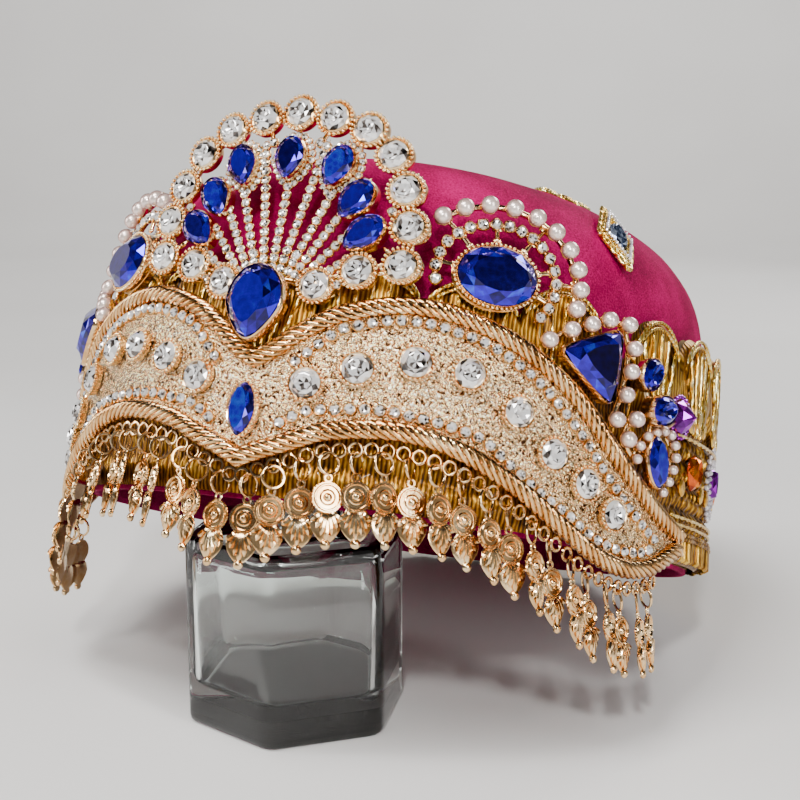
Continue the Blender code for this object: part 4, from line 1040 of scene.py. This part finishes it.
# Blue stones: name, form, centre, size, turn in degrees, foot, wall and lip and sides of the bezel, lift of the
# girdle, rise, whether its table is flat, and the seed of its facets
CLUSTER_STONES = (
    ("side_triangle", "trillion", (81.3, 43.6), (21.6, 21.6), -34, TRIM_FRONT, 3.2, 0.4, 72, 2.7, 3.0, True, 37),
    ("side_oval_upper", "oval", (99.8, 44.5), (9.0, 7.0), 60, STONE_FOOT, 2.7, 0.35, 40, 2.1, 2.1, False, 41),
    ("side_oval_lower", "oval", (103.9, 36.2), (9.4, 7.4), 20, STONE_FOOT, 4.1, 0.35, 40, 3.5, 2.1, False, 41),
    ("side_marquise", "marquise", (105.4, 23.6), (7.2, 13.0), 15, STONE_FOOT, 2.2, 0.35, 48, 1.6, 2.2, True, 43))
CLUSTER_WIRES = (((96.6, 32.6), (103.9, 36.2)), ((93.2, 43.8), (99.8, 44.5)), ((92.2, 37.8), (81.3, 43.6)),
                 ((99.8, 44.5), (103.9, 36.2)), ((103.9, 36.2), (105.4, 23.6)), ((73.6, 50.0), (81.3, 43.6)),
                 ((105.4, 23.6), (99.6, 26.6)), ((105.4, 23.6), (114.8, 23.2)), ((94.3, 27.2), (98.8, 23.2)),
                 ((94.3, 27.2), (99.6, 26.6)), ((91.1, 55.3), (81.3, 43.6)), ((109.0, 32.0), (119.6, 37.6)))
PURPLE_CENTRE = (119.6, 37.6)
PURPLE_STONE = (9.2, 9.2)
for side, word in SIDES:
    metal, balls = bmesh.new(), bmesh.new()
    for name, form, (s, z), size, turn, foot, wall, lip, sides, lift, rise, flat, seed in CLUSTER_STONES:
        place = seat(side * s, z, foot, side * math.radians(turn))
        plain_bezel(metal, *size, form, place, wall, lip, sides)
        stone = bmesh.new()
        cut_stone(stone, *size, form, place, lift, rise, flat=flat)
        finished("%s_stone_%s" % (name, word), stone, sapphire, ["%s_%s" % (name, word)], facets=seed)
    wires = [(*ends, 0.8) for ends in CLUSTER_WIRES]
    for spots, radius, sunk, thick in PEARL_STRINGS:
        pearls(balls, metal, spots, radius, TRIM_FRONT - sunk, side)
        wires += [(*ends, thick) for ends in zip(spots, spots[1:])]
    for here, there, thick in wires:
        wire(metal, (side * here[0], here[1], 1.0), (side * there[0], there[1], 1.0), thick)
    finished("cluster_pearls_" + word, balls, pearl_lustre, sharp=80)
    finished("cluster_metal_" + word, metal, gilt, ["side_cluster_" + word], sharp=50)
    point, beads = bmesh.new(), bmesh.new()
    place = seat(side * PURPLE_CENTRE[0], PURPLE_CENTRE[1], BAND_OUTER + GAP)
    raised(point, outline(*PURPLE_STONE), ((0, 0), (0, 1.6), (-1.6, 3.4, 0.5), (-3.6, 5.0), (-4.8, 5.8, 0.5)), 8,
           place, tip=True)
    finished("purple_point_" + word, point, amethyst, ["purple_stone_" + word], facets=47)
    copies(beads, rim_bead, [place @ seat(x, y, 1.2, size=1.25)
                             for x, y in round_spots(outline(*PURPLE_STONE), 0.75, 1.45)])
    # The beads' facets get painted reflections too, as small glints
    finished("purple_bezel_beads_" + word, beads, amethyst, facets=61)

# The pendant fringe
# A row of soldered rings under the bottom rope, from which jump rings carry stamped pendants, each a disc of
# concentric rings over a ribbed leaf. The pendants hang plumb, so they slant along the leaning wall.
RINGS_A_SIDE = 32
RING_FIRST = 1.6
RING_PITCH = 3.6
RING_DROP = 4.6
JUMP_DROP = 5.6
PENDANTS_A_SIDE = 19
PENDANT_FIRST = 3.6
PENDANT_PITCH = 5.95
PENDANT_DROP = 9.6
DISC_RADIUS = 3.6
DISC = (2 * DISC_RADIUS, 2 * DISC_RADIUS)
FRINGE_OFF = 0.45
# Every other pendant hangs in front of its neighbours, and each is turned a little on its jump ring
FRONT_LIFT = 1.3
YAW = 0.22
FRONT_YAW = 0.3
SWAY = 0.14


def ring(unit, radius, thick, steps=16, middle=0.0):
    def path(t):
        turn = 2 * math.pi * t
        return radius * math.cos(turn), middle + radius * math.sin(turn), 0.0

    tube(unit, path, steps, thick, 6, closed=True)
    bmesh.ops.remove_doubles(unit, verts=unit.verts[:], dist=0.01)


def pendant_build(unit):
    """Disc with a milled edge, raised rings and a dome, over a fan of ribs that ends in a knob."""
    raised(unit, outline(*DISC, teeth=32, depth=0.1), ((-0.1, -0.25), (0, 0.05), (-0.15, 0.35), (-0.45, 0.35)), 64)
    raised(unit, outline(*DISC), (
        (-0.4, -0.2), (-0.4, 0.5), (-0.6, 0.85), (-0.8, 0.85), (-1.0, 0.45), (-1.1, 0.0), (-1.6, 0.0), (-1.75, 0.5),
        (-1.95, 0.62), (-2.15, 0.4), (-2.25, 0.0), (-2.5, 0.05), (-2.65, 0.7), (-3.0, 1.1), (-3.3, 1.2)), 22)
    for k in range(-3, 4):
        lean_out = k / 3
        start = Vector((0.9 * lean_out, -DISC_RADIUS + 0.4, 0.3))
        end = Vector((3.7 * lean_out, -DISC_RADIUS - 1.7 - 4.8 * (1 - abs(lean_out)) ** 0.9, 0.4))
        tube(unit, lambda t: start.lerp(end, t) + Vector((0, 0, 0.35 * math.sin(math.pi * t))), 5, 0.58, 6)
    raised(unit, outline(7.2, 8.2, "drop"), ((-0.3, -0.25), (0, 0), (-0.3, 0.15)), 20, seat(0, -DISC_RADIUS - 2.7, 0))
    raised(unit, outline(2.3, 2.3), ((-0.2, -0.25), (0, 0.3), (-0.3, 0.8), (-0.8, 1.05)), 12,
           seat(0, -DISC_RADIUS - 6.9, 0))
    ring(unit, 0.8, 0.32, 12, DISC_RADIUS + 0.7)


small_ring = unit_mesh("small_ring", lambda unit: ring(unit, 1.5, 0.46))
jump_ring = unit_mesh("jump_ring", lambda unit: ring(unit, 2.5, 0.36))
pendant = unit_mesh("pendant", pendant_build)
gilt_stamping = rose_gold("rose_gold_stamping", 0.17, 0.9, 0.03, 0.25)
chance = random.Random(21)
for side, word in SIDES:
    links, drops = bmesh.new(), bmesh.new()
    for k in range(RINGS_A_SIDE):
        s = RING_FIRST + k * RING_PITCH
        place = seat(side * s, rope_height(BOTTOM_ROPE, s) - RING_DROP, FRINGE_OFF + 0.5)
        copies(links, small_ring, [place @ Matrix.Rotation(0.15, 4, "Y")])
    for k in range(PENDANTS_A_SIDE):
        s = PENDANT_FIRST + k * PENDANT_PITCH
        # How far a plumb line moves along the wall for each millimetre it drops
        slant = math.tan(CROWN_TILT) * math.sin(float(wall_angle(s)))
        front = k % 2
        yaw = side * (YAW + FRONT_YAW * front) + chance.uniform(-SWAY, SWAY)
        top = seat(side * s, rope_height(BOTTOM_ROPE, s) - JUMP_DROP, FRINGE_OFF + 0.35 + FRONT_LIFT * front,
                   side * math.atan(slant))
        copies(links, jump_ring, [top @ seat(0, -2.0, 0) @ Matrix.Rotation(1.1 - 0.45 * front, 4, "Y")])
        copies(drops, pendant, [top @ seat(0, -PENDANT_DROP, 0) @ Matrix.Rotation(yaw, 4, "Y")])
    finished("fringe_rings_" + word, links, gilt, sharp=60)
    finished("fringe_pendants_" + word, drops, gilt_stamping, ["fringe_" + word], sharp=40)

# The embroidered diamonds on the cap's shoulder
# Small diamonds worked over a pad in gold cord, with a grey-blue stone in the middle and seed beads at the edge,
# and sewn on the velvet.
DIAMONDS = (95.0, -95.0, 215.0, -215.0)
DIAMOND_HALF = 7.5
DIAMOND_TALL = 11.5
# Heights on the cap of its foot, middle and head, and how far the wall has come in there
DIAMOND_ROWS = ((71, 5.2), (80, 8.6), (88, 15.5))
CORNERS = [Vector((0, -DIAMOND_TALL, 0)), Vector((DIAMOND_HALF, 0, 0)), Vector((0, DIAMOND_TALL, 0)),
           Vector((-DIAMOND_HALF, 0, 0))]
EDGES = list(zip(CORNERS, CORNERS[1:] + CORNERS[:1]))
# Cords round the pad: size and height
PAD_CORDS = ((1.0, 0.35), (0.82, 0.8), (0.64, 1.1))
EDGE_BEADS = 9
# Grey-blue foiled glass; the light and dark of its facets is painted reflection
slate = foiled_glass("grey_blue_foiled_glass", ((0.1, "#1d2740"), (0.5, "#52658c"), (0.9, "#c9d6ee")))


def shoulder_spot(centre, up, proud):
    """Point over the cap's shoulder, up between the diamond's rows from -1 to 1."""
    low, middle, high = DIAMOND_ROWS
    z, inset = Vector(middle).lerp(Vector(high if up > 0 else low), abs(up))
    return Vector((centre, z + proud * 0.7, -inset + proud * 0.7))


def diamond_frame(centre):
    """Turns flat points of a diamond into points over the shoulder."""
    foot, middle, head = [shoulder_spot(centre, up, 0.7) for up in (-1, 0, 1)]
    across, up = Vector((1, 0, 0)), (head - foot).normalized()
    return Matrix.Translation(middle) @ Matrix((across, up, across.cross(up))).transposed().to_4x4()


def diamond_edge(angle, growth):
    return Vector(outline(2 * DIAMOND_HALF, 2 * DIAMOND_TALL)(angle, growth)) / (
        abs(math.cos(angle)) + abs(math.sin(angle)))


for k, centre in enumerate(DIAMONDS):
    pad, stone, beads = bmesh.new(), bmesh.new(), bmesh.new()
    ground = diamond_frame(centre)
    for inset, out in PAD_CORDS:
        for here, there in EDGES:
            tube(pad, lambda t: ground @ (here.lerp(there, t) * inset + Vector((0, 0, out))), 20, 0.7, 6, lobes=3)
    raised(pad, diamond_edge, ((-0.8, -0.6), (-0.5, 0.2), (-3.0, 0.9)), 32, ground)
    finished("shoulder_diamond_pad_%d" % (k + 1), pad, gold_thread, ["cap_diamond_%d" % (k + 1)],
             sharp=60, weld=0.02)
    cut_stone(stone, 6.6, 9.2, "oval", ground, 0.9, 1.9, 8)
    finished("shoulder_diamond_stone_%d" % (k + 1), stone, slate, facets=53)
    copies(beads, rim_bead, [ground @ seat(*(here.lerp(there, t / EDGE_BEADS) * 0.73).xy, 1.9)
                             for here, there in EDGES for t in range(EDGE_BEADS)])
    finished("shoulder_diamond_beads_%d" % (k + 1), beads, seed_glass)

# The gold sprays on the cap's top edge
# Three padded leaves in a row, worked in couched gold cord, sewn on each side where the top turns down to the wall.
SPRAY_MIDDLE = 94.0
SPRAY_ROW = 8
SPRAY_STRETCH = 1.42
LEAF_PITCH = 6.8
# Cords of a leaf: half length, half width and height
LEAF_CORDS = ((3.5, 3.0, 0.4), (2.4, 2.0, 0.9), (1.2, 0.9, 1.1))


def rim_spot(side, along, inward, proud):
    """Point over the cap's top edge: real millimetres along the edge, inward from it, and above the velvet."""
    run = knots[SPRAY_ROW] + inward
    return Vector((side * (SPRAY_MIDDLE + along * SPRAY_STRETCH), smooth_line(cap_heights, run) + proud,
                   -smooth_line(cap_insets, run)))


for side, word in SIDES:
    shape = bmesh.new()
    for leaf in (-1, 0, 1):
        for wide, deep, proud in LEAF_CORDS:
            tube(shape, lambda t: rim_spot(side, leaf * LEAF_PITCH + wide * math.cos(2 * math.pi * t),
                                           deep * math.sin(2 * math.pi * t), proud),
                 26, 0.75, 6, lobes=1, closed=True)
    finished("cap_spray_" + word, shape, gold_thread, sharp=60, weld=0.02)

# The glass jar
# A moulded hexagonal jar of clear soda-lime glass with a thick base and rounded edges. It stands empty under the
# brow, and its neck holds the post.
JAR_RADIUS = 29.3
JAR_WALL = 3.2
JAR_INNER = JAR_RADIUS - JAR_WALL
JAR_TURN = math.radians(11.8)
CORNER_ROUND = 0.035
# Rows from the base up the outside, over the neck and down the inside: radius, roundness from 0 for the hexagon to 1
# for the neck's circle, and height
JAR_ROWS = (
    (JAR_RADIUS - 2.0, 0, 0.0), (JAR_RADIUS - 0.8, 0, 0.35), (JAR_RADIUS - 0.2, 0, 1.1), (JAR_RADIUS, 0, 2.2),
    (JAR_RADIUS, 0, 47.3), (JAR_RADIUS - 0.3, 0, 48.6), (JAR_RADIUS - 1.1, 0, 49.3), (JAR_RADIUS - 2.3, 0, 49.5),
    (13.2, 1, 49.5), (12.3, 1, 49.9), (12.0, 1, 50.8), (12.0, 1, 57.0), (11.5, 1, 57.5), (8.4, 1, 57.5),
    (8.0, 1, 57.1), (8.0, 1, 46.2), (9.0, 1, 45.5), (JAR_INNER - 2.6, 0, 45.3),
    (JAR_INNER - 0.9, 0, 44.6), (JAR_INNER, 0, 43.0), (JAR_INNER, 0, 12.4), (JAR_INNER - 0.8, 0, 10.9),
    (JAR_INNER - 2.4, 0, 10.1), (JAR_INNER - 5.0, 0, 9.9))


def jar_edge(angle, row):
    """Hexagon with rounded corners, or the neck's circle."""
    radius, roundness = row
    face = (angle - JAR_TURN + math.pi / 2) % (math.pi / 3) - math.pi / 6
    flat = radius * math.cos(math.pi / 6) / math.cos(face)
    reach = (flat + min(flat, radius * (1 - CORNER_ROUND))) / 2
    reach += (radius - reach) * roundness
    return reach * math.cos(angle), reach * math.sin(angle)


shape = bmesh.new()
raised(shape, jar_edge, [((radius, roundness), height) for radius, roundness, height in JAR_ROWS], 144)
# Soda-lime glass: clear with a breath of grey-green in its thickness, polished by the mould
jar_glass, tree, shader = surface("soda_lime_glass", {
    "Roughness": 0.0, "Transmission Weight": 1.0, "IOR": 1.52, "Base Color": hex_colour("#f4faf8")})
waves = add(tree, "TexNoise", {"Scale": 1 / (14 * MM)}, {"Vector": add(tree, "TexCoord", out="Object")})
add(tree, "Bump", {"Strength": 0.08, "Distance": 0.6 * MM}, {"Height": waves}, to=shader["Normal"])
finished("glass_jar_body", shape, jar_glass, ["glass_jar"], sheet=None, sharp=28)

# The hidden post
# A turned rod of grey plastic with its stopper, pushed into the jar's neck; the inside of the cap rests on it.
# Turning leaves fine rings round it, a little darker and lighter.
post_plastic, tree, shader = surface("turned_grey_plastic", {"Roughness": 0.5})
rings = add(tree, "TexWave", {"bands_direction": "Z", "Scale": 1 / (0.8 * MM) / 20 * math.pi, "Distortion": 1.5},
            {"Vector": add(tree, "TexCoord", out="Object")}, out="Fac")
add(tree, "ValToRGB", {"stops": ((0.2, "#7a706c"), (0.8, "#938a85"))}, {"Fac": rings}, to=shader["Base Color"])
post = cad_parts["stand_post"]
post.data.materials.clear()
post.data.materials.append(post_plastic)
